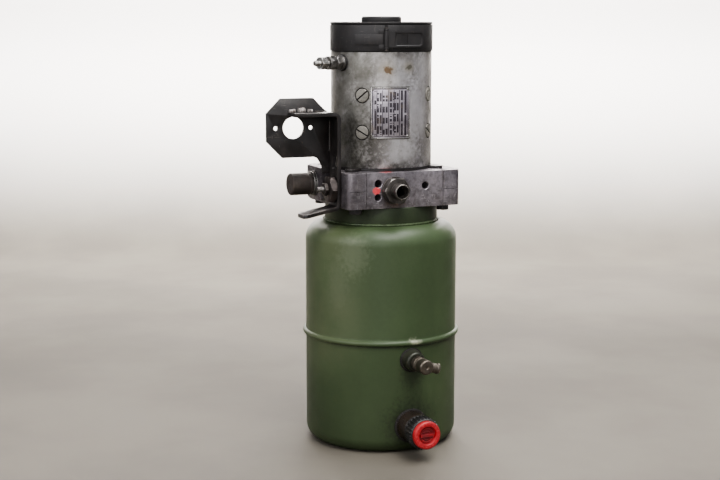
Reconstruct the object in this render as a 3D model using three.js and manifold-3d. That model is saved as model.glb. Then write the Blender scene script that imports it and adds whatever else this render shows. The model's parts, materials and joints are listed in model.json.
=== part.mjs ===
// Hydraulic power unit: a DC motor on an aluminium valve block, over a round steel oil tank.
// Millimetres, +Z up. The origin is the centre of the tank's flat base, and -Y is the front, where the
// pressure port, the return elbow and the filler cap point. The bracket and the solenoid valve are at -X.
import * as THREE from "three";
import { mergeVertices } from "three/addons/utils/BufferGeometryUtils.js";
import Module from "manifold-3d";

const wasm = await Module();
wasm.setup();

// ---- Driving dimensions -------------------------------------------------------------------------------
const GAP = 0.3; // between pieces that touch
const TANK = { r: 85, wall: 2.5, baseCorner: 16, shoulder: 20.5, seamZ: 124, top: 250, beadR: 88.7 };
const COLLAR = { r: 63.25, bore: 54.5, top: 270 };
const BLOCK = { left: 65, right: 68.8, halfY: 62, bottom: COLLAR.top, top: 309, corner: 6 };
const SPIGOT = { r: 54.1, bottom: 262, groove: 51.6, grooveLow: 264, grooveHigh: 268 };
const CORNER_BOLT = { x: 52, y: 52, r: 4, holeR: 4.4, headAF: 13, head: 5.3 };
const PORT = { x: -11, z: 289.5, holeR: 7.3, shankR: 7, hexAF: 27, hexT: 8, tip: -85 };
const PORT_NIPPLE = { r: 8.7, boreR: 5, mouthR: 7, mouthDepth: 9 };
const PORT_WASHER = { r: 15, t: 1.8 };
const FRONT_HOLES = [
  { x: -29.7, z: 297, r: 4.5 },
  { x: -30.1, z: 282.1, r: 4 },
  { x: 26.2, z: 293.1, r: 4.3 },
];
const FACE_GROOVES = [-43.6, 47.4];
const SOLENOID = { y: 12.5, z: 292, r: 12.2, end: -104.8, nutR: 14.2, nutT: 4, stemR: 9, plungerR: 4 };
const SIDE_BLOCK = { face: -75.5, halfY: 21.5, bottom: 275, top: 311 };
const RELIEF = { y: -31, z: 290, hexAF: 27, hexT: 7.5, shankR: 7.5, nutAF: 13, nutT: 4 };
const RELIEF_SCREW = { r: 3, out: 11 };
const STRAP = { inner: -65.3, t: 4, front: -43, rear: -18.5, top: 373.5, shelfEnd: -117 };
const FOOT = { end: -107.5, tilt: 11, z: 271.5 };
const SOCKET_PLATE = { front: -18.2, t: 3.2 };
const SOCKET_HOLE = { x: -110.6, z: 356.6, r: 11.9, screwR: 2.5, pitch: 40 };
const YOKE = { r: 56, inner: 50, bottom: 312, top: 437.5 };
const POLE = { azimuths: [45, 135, 225, 315], shoeLow: 330, shoeHigh: 412 };
const POLE_SCREW = { z: [351, 391], r: 7.8, slotW: 1.8, slotTurn: [-28, 40] };
const EAR = { azimuths: [54, 126, 234, 306], r: 6.5, centreR: 63.5 };
const CAP = { skirt: 55.6, inner: 50, rim: 56.5, top: 469.5, roof: 4 };
const BAND = { inner: 56, outer: 56.8, low: 438.2, high: 466.2, split: 3 };
const LATCH = { pinAz: -18, endAz: 27.7, pinR: 59.8, low: 442.5, high: 459.5, rodR: 1.3, knuckleR: 2.6 };
const LATCH_POCKET = { fromAz: -2.5, toAz: 5.5, low: 446, high: 456 };
const TERMINAL = { az: -71.7, z: 425.7, studR: 3.1, end: 95.5, washerR: 9, nutAF: 13, outerNut: [81, 88.5] };
const SHAFT = { r: 8, tip: 4, bottom: 264 };
const PUMP = { top: SPIGOT.bottom, gearLow: 234, gearHigh: 252, endCover: 220, wallR: 24, pocketR: 15.8 };
const GEAR = { teeth: 12, module: 2.2, width: 17.4, journal: 7 };
const GEAR_CENTRES = GEAR.teeth * GEAR.module;
const RETURN = { z: 105.5, bossR: 13, bossEnd: -99, elbowR: 8, spoutTilt: 14 };
const FILLER = { z: 31.5, bossR: 18.5, neckR: 17.6, bossEnd: -103, boreR: 12.4, sealT: 2 };
const FILLER_CAP = { r: 17, ribs: 12, sealR: 16.5, insertR: 15.4, plugR: 11.8, face: -128.5 };

// ---- Finishes -----------------------------------------------------------------------------------------
const finish = (color, roughness, metalness) =>
  new THREE.MeshStandardMaterial({ color, roughness, metalness });
const FINISH = {
  greenPaint: finish(0x49553a, 0.55, 0),
  blackPaint: finish(0x1b191a, 0.5, 0),
  blackRubber: finish(0x242120, 0.7, 0),
  redPlastic: finish(0xc9352b, 0.45, 0),
  bareSteel: finish(0x8b8781, 0.45, 0.8),
  darkSteel: finish(0x4c4640, 0.55, 0.7),
  zincSteel: finish(0x9a958c, 0.4, 0.9),
  castAluminium: finish(0x85827f, 0.5, 0.8),
  copper: finish(0xa5633b, 0.4, 0.9),
  carbon: finish(0x2b2b2c, 0.6, 0.2),
  labelMetal: finish(0xa9a6ae, 0.4, 0.7),
  brassMesh: finish(0xa08a52, 0.5, 0.8),
};

// ---- Solids -------------------------------------------------------------------------------------------
const rad = THREE.MathUtils.degToRad;

// A closed three.js geometry as a manifold solid, turned right side out.
function solid(geometry) {
  geometry.deleteAttribute("normal");
  geometry.deleteAttribute("uv");
  const merged = mergeVertices(geometry, 1e-3);
  const positions = new Float32Array(merged.attributes.position.array);
  const build = (triangles) =>
    new wasm.Manifold(new wasm.Mesh({ numProp: 3, vertProperties: positions, triVerts: triangles }));
  const made = build(new Uint32Array(merged.index.array));
  if (made.volume() >= 0) return made;
  return build(new Uint32Array(merged.index.array).reverse());
}

// Sides of a round piece, by its radius.
const sides = (r) => (r > 45 ? 36 : r > 20 ? 24 : r > 7.5 ? 16 : 12);

// A profile of [radius, height] points, turned about Z.
function turned(points, segments = sides(Math.max(...points.map(([r]) => r)))) {
  const profile = points.map(([r, z]) => new THREE.Vector2(r, z));
  if (points[0][0] > 0 || points[points.length - 1][0] > 0) profile.push(profile[0].clone());
  return solid(new THREE.LatheGeometry(profile, segments).rotateX(Math.PI / 2));
}

const disc = (r, low, high, segments) => turned([[0, low], [r, low], [r, high], [0, high]], segments);
const ring = (inner, outer, low, high) => turned([[inner, low], [outer, low], [outer, high], [inner, high]]);

// Arc points of a profile: centre, radius, from and to in degrees.
function arc(cx, cz, r, from, to, steps = 5) {
  return Array.from({ length: steps + 1 }, (_, i) => {
    const a = rad(from + ((to - from) * i) / steps);
    return [cx + r * Math.cos(a), cz + r * Math.sin(a)];
  });
}

function outline(points) {
  return new THREE.Shape(points.map(([x, y]) => new THREE.Vector2(x, y)));
}

function raised(shape, low, high, curveSegments = 12) {
  const options = { depth: high - low, bevelEnabled: false, curveSegments };
  const geometry = new THREE.ExtrudeGeometry(shape, options);
  return solid(geometry.translate(0, 0, low));
}

function box(x0, x1, y0, y1, z0, z1) {
  const geometry = new THREE.BoxGeometry(x1 - x0, y1 - y0, z1 - z0);
  return solid(geometry.translate((x0 + x1) / 2, (y0 + y1) / 2, (z0 + z1) / 2));
}

// An annular sector between two azimuths. Azimuth 0 is the front, -Y, and 90 is +X.
function sector(inner, outer, fromAz, toAz, low, high, curveSegments = 3) {
  const shape = new THREE.Shape();
  const [a, b] = [rad(fromAz - 90), rad(toAz - 90)];
  shape.absarc(0, 0, outer, a, b, false);
  shape.absarc(0, 0, inner, b, a, true);
  return raised(shape, low, high, curveSegments);
}

const hexagon = (acrossFlats, low, high) => disc(acrossFlats / Math.sqrt(3), low, high, 6);

// A solid made along Z, moved so that its Z points along the front (-Y), the left (-X) or the right (+X).
const toFront = (s, x, z) => s.rotate([90, 0, 0]).translate([x, 0, z]);
const toLeft = (s, y, z) => s.rotate([0, -90, 0]).translate([0, y, z]);
const toRight = (s, y, z) => s.rotate([0, 90, 0]).translate([0, y, z]);

const join = (...solids) => solids.reduce((a, b) => a.add(b));
const cut = (body, ...tools) => tools.reduce((a, b) => a.subtract(b), body);

function geometryOf(s) {
  const mesh = s.getMesh();
  const geometry = new THREE.BufferGeometry();
  geometry.setAttribute("position", new THREE.BufferAttribute(new Float32Array(mesh.vertProperties), 3));
  geometry.setIndex(new THREE.BufferAttribute(new Uint32Array(mesh.triVerts), 1));
  geometry.computeVertexNormals();
  return geometry;
}

function piece(group, name, s, material) {
  const mesh = new THREE.Mesh(geometryOf(s), material);
  mesh.name = name;
  group.add(mesh);
  return mesh;
}

// ---- Tank ---------------------------------------------------------------------------------------------
function makeTank() {
  const group = new THREE.Group();
  const flat = TANK.r - TANK.baseCorner;
  const inside = TANK.r - TANK.wall;
  const returnHole = toFront(disc(6, TANK.r - 10, TANK.r + 5), 0, RETURN.z);
  const fillerHole = toFront(disc(FILLER.boreR, TANK.r - 16, TANK.r + 5), 0, FILLER.z);
  const lower = turned(
    [
      [0, 0],
      ...arc(flat, TANK.baseCorner, TANK.baseCorner, -90, 0, 4),
      [TANK.r, TANK.seamZ],
      [inside, TANK.seamZ],
      ...arc(flat, TANK.baseCorner, TANK.baseCorner - TANK.wall, 0, -90, 2),
      [0, TANK.wall],
    ],
  );
  piece(group, "tank_lower_shell", cut(lower, returnHole, fillerHole), FINISH.greenPaint);

  // The upper shell laps over the lower one in a rolled bead.
  const neck = TANK.r - TANK.shoulder;
  const shoulderZ = TANK.top - TANK.shoulder;
  const upper = turned(
    [
      [TANK.r + GAP, TANK.seamZ + GAP],
      [TANK.r + GAP, TANK.seamZ - 2.8],
      ...arc(TANK.r + GAP, TANK.seamZ, TANK.beadR - TANK.r - GAP, -50, 50, 3),
      [TANK.r, TANK.seamZ + 4.2],
      ...arc(neck, shoulderZ, TANK.shoulder, 0, 90, 4),
      [COLLAR.bore, TANK.top],
      [COLLAR.bore, TANK.top - TANK.wall],
      ...arc(neck, shoulderZ, TANK.shoulder - TANK.wall, 90, 0, 2),
      [inside, TANK.seamZ + GAP],
    ],
  );
  piece(group, "tank_upper_shell", upper, FINISH.greenPaint);

  const collar = turned(
    [
      [COLLAR.bore, TANK.top + GAP],
      [COLLAR.r + 3.6, TANK.top + GAP],
      [COLLAR.r + 1.4, TANK.top + 2.2],
      [COLLAR.r, TANK.top + 4.2],
      [COLLAR.r, COLLAR.top],
      [COLLAR.bore, COLLAR.top],
    ],
  );
  piece(group, "neck_collar", collar, FINISH.greenPaint);
  return group;
}

function makeReturnLine() {
  const group = new THREE.Group();
  const clearOfTank = disc(TANK.r + GAP, RETURN.z - 30, RETURN.z + 30);
  const boss = turned([
    [6, TANK.r - 4],
    [RETURN.bossR, TANK.r - 4],
    [RETURN.bossR, TANK.r + 3],
    [11.5, TANK.r + 6],
    [11.5, -RETURN.bossEnd - 1.5],
    [10, -RETURN.bossEnd],
    [6, -RETURN.bossEnd],
  ]);
  piece(group, "return_boss", cut(toFront(boss, 0, RETURN.z), clearOfTank), FINISH.darkSteel);

  const nippleBase = -RETURN.bossEnd + GAP;
  const nipple = join(disc(5.6, nippleBase - 9, nippleBase + 1), disc(7.6, nippleBase, nippleBase + 11));
  const nippleBore = disc(3.2, nippleBase - 10, nippleBase + 20);
  piece(group, "return_nipple", toFront(cut(nipple, nippleBore), 0, RETURN.z), FINISH.zincSteel);

  const elbowBase = nippleBase + 11 + GAP;
  const elbowBody = turned([
    [0, elbowBase],
    [RETURN.elbowR, elbowBase],
    [RETURN.elbowR, elbowBase + 14],
    [RETURN.elbowR - 1, elbowBase + 15],
    [0, elbowBase + 15],
  ]);
  // The spout comes out to the right, a little below level.
  const toSpout = (s) =>
    toRight(s, 0, 0).rotate([0, RETURN.spoutTilt, 0]).translate([0, -elbowBase - 7.5, RETURN.z]);
  const spout = toSpout(join(disc(5.2, 0, 14), disc(5.8, 14, 17)));
  const elbowInlet = toFront(disc(3.2, elbowBase - 1, elbowBase + 8), 0, RETURN.z);
  const spoutBore = toSpout(disc(3, 0, 20));
  const elbow = cut(join(toFront(elbowBody, 0, RETURN.z), spout), elbowInlet, spoutBore);
  piece(group, "return_elbow", elbow, FINISH.zincSteel);
  return group;
}

function makeFiller() {
  const group = new THREE.Group();
  const clearOfTank = disc(TANK.r + GAP, FILLER.z - 30, FILLER.z + 30);
  const bossFace = -FILLER.bossEnd;
  const boss = turned([
    [FILLER.boreR, TANK.r - 6],
    [FILLER.bossR, TANK.r - 6],
    [FILLER.bossR, TANK.r + 4],
    [FILLER.neckR, TANK.r + 7],
    [FILLER.neckR, bossFace],
    [FILLER.boreR, bossFace],
  ]);
  piece(group, "filler_boss", cut(toFront(boss, 0, FILLER.z), clearOfTank), FINISH.darkSteel);

  const sealLow = bossFace + GAP;
  const seal = ring(13, FILLER_CAP.sealR, sealLow, sealLow + FILLER.sealT);
  piece(group, "filler_cap_seal", toFront(seal, 0, FILLER.z), FINISH.blackRubber);

  const capLow = sealLow + FILLER.sealT + GAP;
  const insertLow = -FILLER_CAP.face - 6.2;
  const { r, insertR } = FILLER_CAP;
  const rib = box(-1.6, 1.6, r - 1.2, r + 0.8, capLow + 2, insertLow - 2);
  const ribs = Array.from({ length: FILLER_CAP.ribs }, (_, i) =>
    rib.rotate([0, 0, (i * 360) / FILLER_CAP.ribs]),
  );
  const capBody = join(
    disc(FILLER_CAP.plugR, bossFace - 9, capLow + 1),
    disc(r, capLow, insertLow - GAP),
    ...ribs,
  );
  piece(group, "filler_cap_body", toFront(capBody, 0, FILLER.z), FINISH.blackRubber);

  const insert = turned([
    [0, insertLow],
    [insertR, insertLow],
    [insertR, insertLow + 5],
    [insertR - 1.2, insertLow + 6.2],
    [10.4, insertLow + 6.2],
    [9.5, insertLow + 3],
    [0, insertLow + 3],
  ]);
  const grip = box(-8, 8, -1.5, 1.5, insertLow + 2.5, insertLow + 5.2);
  piece(group, "filler_cap_insert", toFront(join(insert, grip), 0, FILLER.z), FINISH.redPlastic);
  return group;
}

// ---- Valve block and what is screwed into it ----------------------------------------------------------
function roundedRectangle(left, right, halfY, corner) {
  const shape = new THREE.Shape();
  shape.absarc(right - corner, halfY - corner, corner, 0, Math.PI / 2, false);
  shape.absarc(corner - left, halfY - corner, corner, Math.PI / 2, Math.PI, false);
  shape.absarc(corner - left, corner - halfY, corner, Math.PI, 1.5 * Math.PI, false);
  shape.absarc(right - corner, corner - halfY, corner, 1.5 * Math.PI, 2 * Math.PI, false);
  return shape;
}

function makeBlock() {
  const group = new THREE.Group();
  const spigot = turned(
    [
      [0, SPIGOT.bottom],
      [SPIGOT.r, SPIGOT.bottom],
      [SPIGOT.r, SPIGOT.grooveLow],
      [SPIGOT.groove, SPIGOT.grooveLow],
      [SPIGOT.groove, SPIGOT.grooveHigh],
      [SPIGOT.r, SPIGOT.grooveHigh],
      [SPIGOT.r, BLOCK.bottom + 1],
      [0, BLOCK.bottom + 1],
    ],
  );
  const slab = roundedRectangle(BLOCK.left, BLOCK.right, BLOCK.halfY, BLOCK.corner);
  const plate = raised(slab, BLOCK.bottom, BLOCK.top, 4);
  const frontHoles = FRONT_HOLES.map((h) => toFront(disc(h.r, BLOCK.halfY - 18, BLOCK.halfY + 1), h.x, h.z));
  const grooves = FACE_GROOVES.map((x) =>
    box(x - 0.6, x + 0.6, -BLOCK.halfY - 1, -BLOCK.halfY + 0.8, BLOCK.bottom - 1, BLOCK.top + 1),
  );
  const boltHole = disc(CORNER_BOLT.holeR, BLOCK.bottom - 1, BLOCK.top + 1);
  const boltHoles = [-1, 1].flatMap((sx) =>
    [-1, 1].map((sy) => boltHole.translate([sx * CORNER_BOLT.x, sy * CORNER_BOLT.y, 0])),
  );
  const block = cut(
    join(spigot, plate),
    disc(SHAFT.r + 2, SPIGOT.bottom - 1, BLOCK.top + 1),
    toFront(disc(PORT.holeR, BLOCK.halfY - 30, BLOCK.halfY + 1), PORT.x, PORT.z),
    toLeft(disc(SOLENOID.stemR + GAP, BLOCK.left - 30, BLOCK.left + 1), SOLENOID.y, SOLENOID.z),
    toLeft(disc(RELIEF.shankR + GAP, BLOCK.left - 26, BLOCK.left + 1), RELIEF.y, RELIEF.z),
    ...frontHoles,
    ...grooves,
    ...boltHoles,
  );
  piece(group, "valve_block", block, FINISH.castAluminium);

  const section = arc(53.05, (SPIGOT.grooveLow + SPIGOT.grooveHigh) / 2, 1.35, 30, 330, 5);
  piece(group, "tank_seal_ring", turned(section), FINISH.blackRubber);

  const bolt = join(
    hexagon(CORNER_BOLT.headAF, -CORNER_BOLT.head, 0),
    disc(CORNER_BOLT.r, -1, BLOCK.top - BLOCK.bottom - 3),
  );
  let number = 0;
  for (const sx of [-1, 1])
    for (const sy of [-1, 1]) {
      number += 1;
      const mesh = piece(group, `corner_bolt_${number}`, bolt, FINISH.blackPaint);
      mesh.position.set(sx * CORNER_BOLT.x, sy * CORNER_BOLT.y, BLOCK.bottom - GAP);
    }
  return group;
}

function makePortFitting() {
  const group = new THREE.Group();
  const face = BLOCK.halfY + GAP;
  const washer = ring(PORT.holeR, PORT_WASHER.r, face, face + PORT_WASHER.t);
  piece(group, "port_washer", toFront(washer, PORT.x, PORT.z), FINISH.copper);
  const hexLow = face + PORT_WASHER.t + GAP;
  const fitting = cut(
    join(
      disc(PORT.shankR, BLOCK.halfY - 18, hexLow + 1),
      hexagon(PORT.hexAF, hexLow, hexLow + PORT.hexT),
      disc(PORT_NIPPLE.r, hexLow + PORT.hexT - 1, -PORT.tip),
    ),
    disc(PORT_NIPPLE.boreR, BLOCK.halfY - 20, -PORT.tip + 1),
    disc(PORT_NIPPLE.mouthR, -PORT.tip - PORT_NIPPLE.mouthDepth, -PORT.tip + 1),
  );
  piece(group, "port_fitting", toFront(fitting, PORT.x, PORT.z), FINISH.zincSteel);
  return group;
}

function makeSolenoidValve() {
  const group = new THREE.Group();
  const face = BLOCK.left + GAP;
  const sideFace = -SIDE_BLOCK.face;
  const halfY = SIDE_BLOCK.halfY;
  const boreR = SOLENOID.plungerR + 0.4;
  const along = (s) => toLeft(s, SOLENOID.y, SOLENOID.z);
  const side = cut(
    join(
      box(SIDE_BLOCK.face, -face, SOLENOID.y - halfY, SOLENOID.y + halfY, SIDE_BLOCK.bottom, SIDE_BLOCK.top),
      along(disc(SOLENOID.stemR, BLOCK.left - 22, face + 1)),
    ),
    along(disc(boreR, BLOCK.left - 24, sideFace + 1)),
  );
  piece(group, "valve_side_block", side, FINISH.castAluminium);

  const nutLow = sideFace + GAP;
  const nut = ring(boreR, SOLENOID.nutR, nutLow, nutLow + SOLENOID.nutT);
  piece(group, "coil_retaining_nut", along(nut), FINISH.zincSteel);

  const coilLow = nutLow + SOLENOID.nutT + GAP;
  const coil = turned([
    [boreR, coilLow],
    [SOLENOID.r, coilLow],
    [SOLENOID.r, -SOLENOID.end - 1],
    [SOLENOID.r - 1, -SOLENOID.end],
    [0, -SOLENOID.end],
    [0, -SOLENOID.end - 4],
    [boreR, -SOLENOID.end - 4],
    [boreR, coilLow],
  ]);
  piece(group, "solenoid_coil", along(coil), FINISH.blackRubber);
  const plunger = disc(SOLENOID.plungerR, BLOCK.left - 17, -SOLENOID.end - 5);
  piece(group, "valve_plunger", along(plunger), FINISH.zincSteel);
  return group;
}

function makeReliefValve() {
  const group = new THREE.Group();
  const along = (s) => toLeft(s, RELIEF.y, RELIEF.z);
  const hexLow = -STRAP.inner + STRAP.t + GAP;
  const boreR = RELIEF_SCREW.r + 0.3;
  const nutLow = hexLow + RELIEF.hexT + GAP;
  const nutHigh = nutLow + RELIEF.nutT;
  const tip = nutLow + RELIEF_SCREW.out;
  const body = cut(
    join(
      disc(RELIEF.shankR, BLOCK.left - 24, hexLow + 1),
      hexagon(RELIEF.hexAF, hexLow, hexLow + RELIEF.hexT),
    ),
    disc(boreR, BLOCK.left - 10, nutLow),
  );
  piece(group, "relief_valve_body", along(body), FINISH.darkSteel);
  const nut = cut(hexagon(RELIEF.nutAF, nutLow, nutHigh), disc(boreR, nutLow - 1, nutHigh + 1));
  piece(group, "relief_lock_nut", along(nut), FINISH.zincSteel);
  const screw = cut(disc(RELIEF_SCREW.r, BLOCK.left - 4, tip), box(-5, 5, -0.7, 0.7, tip - 1.5, tip + 1));
  piece(group, "relief_adjusting_screw", along(screw), FINISH.zincSteel);
  return group;
}

// ---- Bracket ------------------------------------------------------------------------------------------
function makeBracket() {
  const group = new THREE.Group();
  const outer = STRAP.inner - STRAP.t;
  const bend = 6;
  // The strap's bent section in the XZ plane: foot, web and shelf.
  const footDrop = Math.tan(rad(FOOT.tilt));
  const footZ = (x) => FOOT.z + (x - outer) * footDrop;
  const section = [
    [STRAP.inner, FOOT.z + 1],
    [STRAP.inner - 1.5, FOOT.z - 2],
    [outer, footZ(outer) - STRAP.t],
    [FOOT.end, footZ(FOOT.end) - STRAP.t],
    [FOOT.end, footZ(FOOT.end)],
    [outer - 3, footZ(outer - 3)],
    [outer, footZ(outer) + 2],
    ...arc(outer - 2, STRAP.top - STRAP.t - 2, 2, 0, 90, 3),
    [STRAP.shelfEnd, STRAP.top - STRAP.t],
    [STRAP.shelfEnd, STRAP.top],
    ...arc(STRAP.inner - bend, STRAP.top - bend, bend, 90, 0, 4),
  ];
  const strip = raised(outline(section), 0, STRAP.rear - STRAP.front)
    .rotate([90, 0, 0])
    .translate([0, STRAP.rear, 0]);
  const window = raised(outline([[-40, 312], [-25, 312], [-30, 327], [-40, 327]]), -5, 5)
    .rotate([90, 0, 90])
    .translate([(STRAP.inner + outer) / 2, 0, 0]);
  const valveHole = toLeft(disc(RELIEF.shankR + 0.6, 60, 80), RELIEF.y, RELIEF.z);
  const footCorner = box(-3, 3, -3, 3, -10, 10).rotate([0, 0, 45]);
  const footCorners = [STRAP.front, STRAP.rear].map((y) => footCorner.translate([FOOT.end, y, 262]));
  piece(
    group,
    "bracket_strap",
    cut(strip, window, valveHole, ...footCorners),
    FINISH.blackPaint,
  );

  const right = STRAP.inner;
  const edge = [
    [right, 306],
    [right, 366],
    [-87.6, 388.5],
    [-125.2, 388.5],
    [-141.2, 372.5],
    [-141.2, 342.5],
    [-123.2, 324.5],
    [-84.5, 324.5],
    [-77.5, 313],
    [-77.5, 306],
  ];
  const plate = raised(outline(edge), 0, SOCKET_PLATE.t)
    .rotate([90, 0, 0])
    .translate([0, SOCKET_PLATE.front + SOCKET_PLATE.t, 0]);
  const hole = (x, r) => toFront(disc(r, 10, 22), x, SOCKET_HOLE.z);
  const holes = [
    hole(SOCKET_HOLE.x, SOCKET_HOLE.r),
    hole(SOCKET_HOLE.x - SOCKET_HOLE.pitch / 2, SOCKET_HOLE.screwR),
    hole(SOCKET_HOLE.x + SOCKET_HOLE.pitch / 2, SOCKET_HOLE.screwR),
  ];
  piece(group, "socket_plate", cut(plate, ...holes), FINISH.blackPaint);
  return group;
}

// ---- Motor --------------------------------------------------------------------------------------------
const poleScrew = (az, z, r, inner, outer) => toFront(disc(r, inner, outer), 0, z).rotate([0, 0, az]);

function makeMotorHousing() {
  const group = new THREE.Group();
  const holes = POLE.azimuths.flatMap((az) =>
    POLE_SCREW.z.map((z) => poleScrew(az, z, POLE_SCREW.r + GAP, YOKE.inner - 2, YOKE.r + 2)),
  );
  const studHole = toFront(disc(5, 40, 60), 0, TERMINAL.z).rotate([0, 0, TERMINAL.az]);
  const yoke = cut(ring(YOKE.inner, YOKE.r, YOKE.bottom, YOKE.top), studHole, ...holes);
  piece(group, "motor_yoke", yoke, FINISH.bareSteel);

  // The drive-end shield closes the yoke from below, with an ear over each side of the block.
  const ear = join(
    disc(EAR.r, BLOCK.top, YOKE.bottom).translate([0, -EAR.centreR, 0]),
    box(-EAR.r, EAR.r, -EAR.centreR, -50, BLOCK.top, YOKE.bottom),
  );
  const ears = EAR.azimuths.map((az) => ear.rotate([0, 0, az]));
  const shield = cut(
    join(
      disc(YOKE.r - 0.8, BLOCK.top, YOKE.bottom),
      disc(YOKE.inner - GAP, YOKE.bottom - 1, YOKE.bottom + 5),
      ...ears,
    ),
    disc(SHAFT.r + 1.5, BLOCK.top - 1, YOKE.bottom + 6),
    disc(17.6, BLOCK.top + 2, YOKE.bottom + 6),
  );
  piece(group, "drive_end_shield", shield, FINISH.blackPaint);

  const windows = [0, 90, 180, 270].map((az) => box(-12, 12, -60, -45, 441, 459).rotate([0, 0, az]));
  const cap = cut(
    turned(
      [
        [0, CAP.top],
        [CAP.rim, CAP.top],
        [CAP.rim, CAP.top - 2],
        [CAP.skirt, CAP.top - 2.8],
        [CAP.skirt, YOKE.top],
        [CAP.inner, YOKE.top],
        [CAP.inner, CAP.top - CAP.roof],
        [16, CAP.top - CAP.roof],
        [16, 456],
        [0, 456],
      ],
    ),
    disc(11.2, 455, 465),
    disc(5, 450, 468),
    ...windows,
  );
  piece(group, "commutator_end_cap", cap, FINISH.blackPaint);

  const boss = turned([[0, CAP.top], [22, CAP.top], [22, 474], [20.8, 475.5], [0, 475.5]]);
  piece(group, "bearing_cap", boss, FINISH.blackPaint);

  const plate = sector(YOKE.r + GAP, YOKE.r + 0.9, -34.5, 9.2, 345, 399.8, 5);
  piece(group, "nameplate", plate, FINISH.labelMetal);
  return group;
}

function makeBandAndLatch() {
  const group = new THREE.Group();
  // The band's two ends meet behind the hinge pin.
  const split = box(-BAND.split / 2, BAND.split / 2, -60, -50, BAND.low - 1, BAND.high + 1);
  const band = cut(ring(BAND.inner, BAND.outer, BAND.low, BAND.high), split.rotate([0, 0, LATCH.pinAz]));
  piece(group, "brush_cover_band", band, FINISH.blackPaint);
  const pinAt = (s) => s.translate([0, -LATCH.pinR, 0]).rotate([0, 0, LATCH.pinAz]);
  const knuckle = (low, high) => pinAt(disc(LATCH.knuckleR, low, high));
  const strapOuter = BAND.outer + GAP + 1.2;
  // Lugs above and below the lever hold the pin.
  const bracket = cut(
    join(
      sector(BAND.outer + GAP, strapOuter, -53, LATCH.pinAz - 3, 445.5, 456.5, 3),
      sector(BAND.outer + GAP, strapOuter, LATCH.pinAz - 8, LATCH.pinAz, 440.2, 445.5, 1),
      sector(BAND.outer + GAP, strapOuter, LATCH.pinAz - 8, LATCH.pinAz, 456.5, 461.8, 1),
      knuckle(440.2, LATCH.low - GAP),
      knuckle(LATCH.high + GAP, 461.8),
    ),
    pinAt(disc(LATCH.rodR + 0.15, 430, 470)),
    pinAt(disc(3.2, LATCH.low - GAP, LATCH.high + GAP)),
  );
  piece(group, "latch_bracket", bracket, FINISH.blackPaint);

  const pin = pinAt(
    join(disc(LATCH.rodR, 439, 463), disc(2.1, 438.6, 439.9), disc(2.1, 462.1, 463.4)),
  );
  piece(group, "latch_pin", pin, FINISH.zincSteel);

  const leverInner = BAND.outer + GAP + 0.8;
  const leverOuter = leverInner + 2;
  const endRound = toFront(disc(8.5, 50, 70), 0, 451).rotate([0, 0, LATCH.endAz - 8]);
  const blade = sector(leverInner, leverOuter, LATCH.pinAz, LATCH.endAz - 8, LATCH.low, LATCH.high, 4);
  const tail = sector(leverInner, leverOuter, LATCH.pinAz + 8, LATCH.endAz, LATCH.low, LATCH.high, 4);
  const pocket = sector(
    leverInner - 1,
    leverOuter + 1,
    LATCH_POCKET.fromAz,
    LATCH_POCKET.toAz,
    LATCH_POCKET.low,
    LATCH_POCKET.high,
    2,
  );
  const lever = cut(
    join(blade, tail.intersect(endRound), knuckle(LATCH.low, LATCH.high)),
    pocket,
    pinAt(disc(LATCH.rodR + 0.25, LATCH.low - 1, LATCH.high + 1)),
  );
  piece(group, "latch_lever", lever, FINISH.blackPaint);
  return group;
}

function makeTerminal() {
  const group = new THREE.Group();
  const out = (s) => toFront(s, 0, TERMINAL.z).rotate([0, 0, TERMINAL.az]);
  const boreR = TERMINAL.studR + GAP;
  const insulatorTop = YOKE.r + 2;
  const insulator = join(disc(TERMINAL.washerR, YOKE.r + 0.5, insulatorTop), disc(4.6, 46, YOKE.r + 1));
  piece(group, "terminal_insulator", out(cut(insulator, disc(boreR, 40, 70))), FINISH.blackRubber);

  // A washer, two nuts turned a little to each other, and the cable's washer, seized into one.
  const low = insulatorTop + GAP;
  const innerNuts = join(
    disc(TERMINAL.washerR - 0.6, low, low + 1.8),
    hexagon(TERMINAL.nutAF + 1, low + 1.7, low + 9),
    hexagon(TERMINAL.nutAF, low + 8.9, low + 17).rotate([0, 0, 22]),
    disc(TERMINAL.washerR - 1.6, low + 16.9, low + 19),
  );
  const outerNut = hexagon(TERMINAL.nutAF, ...TERMINAL.outerNut);
  piece(group, "terminal_inner_nut", out(cut(innerNuts, disc(boreR, 50, 90))), FINISH.zincSteel);
  piece(group, "terminal_outer_nut", out(cut(outerNut, disc(boreR, 60, 100))), FINISH.zincSteel);
  piece(group, "terminal_stud", out(disc(TERMINAL.studR, 45, TERMINAL.end)), FINISH.zincSteel);
  return group;
}

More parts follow.
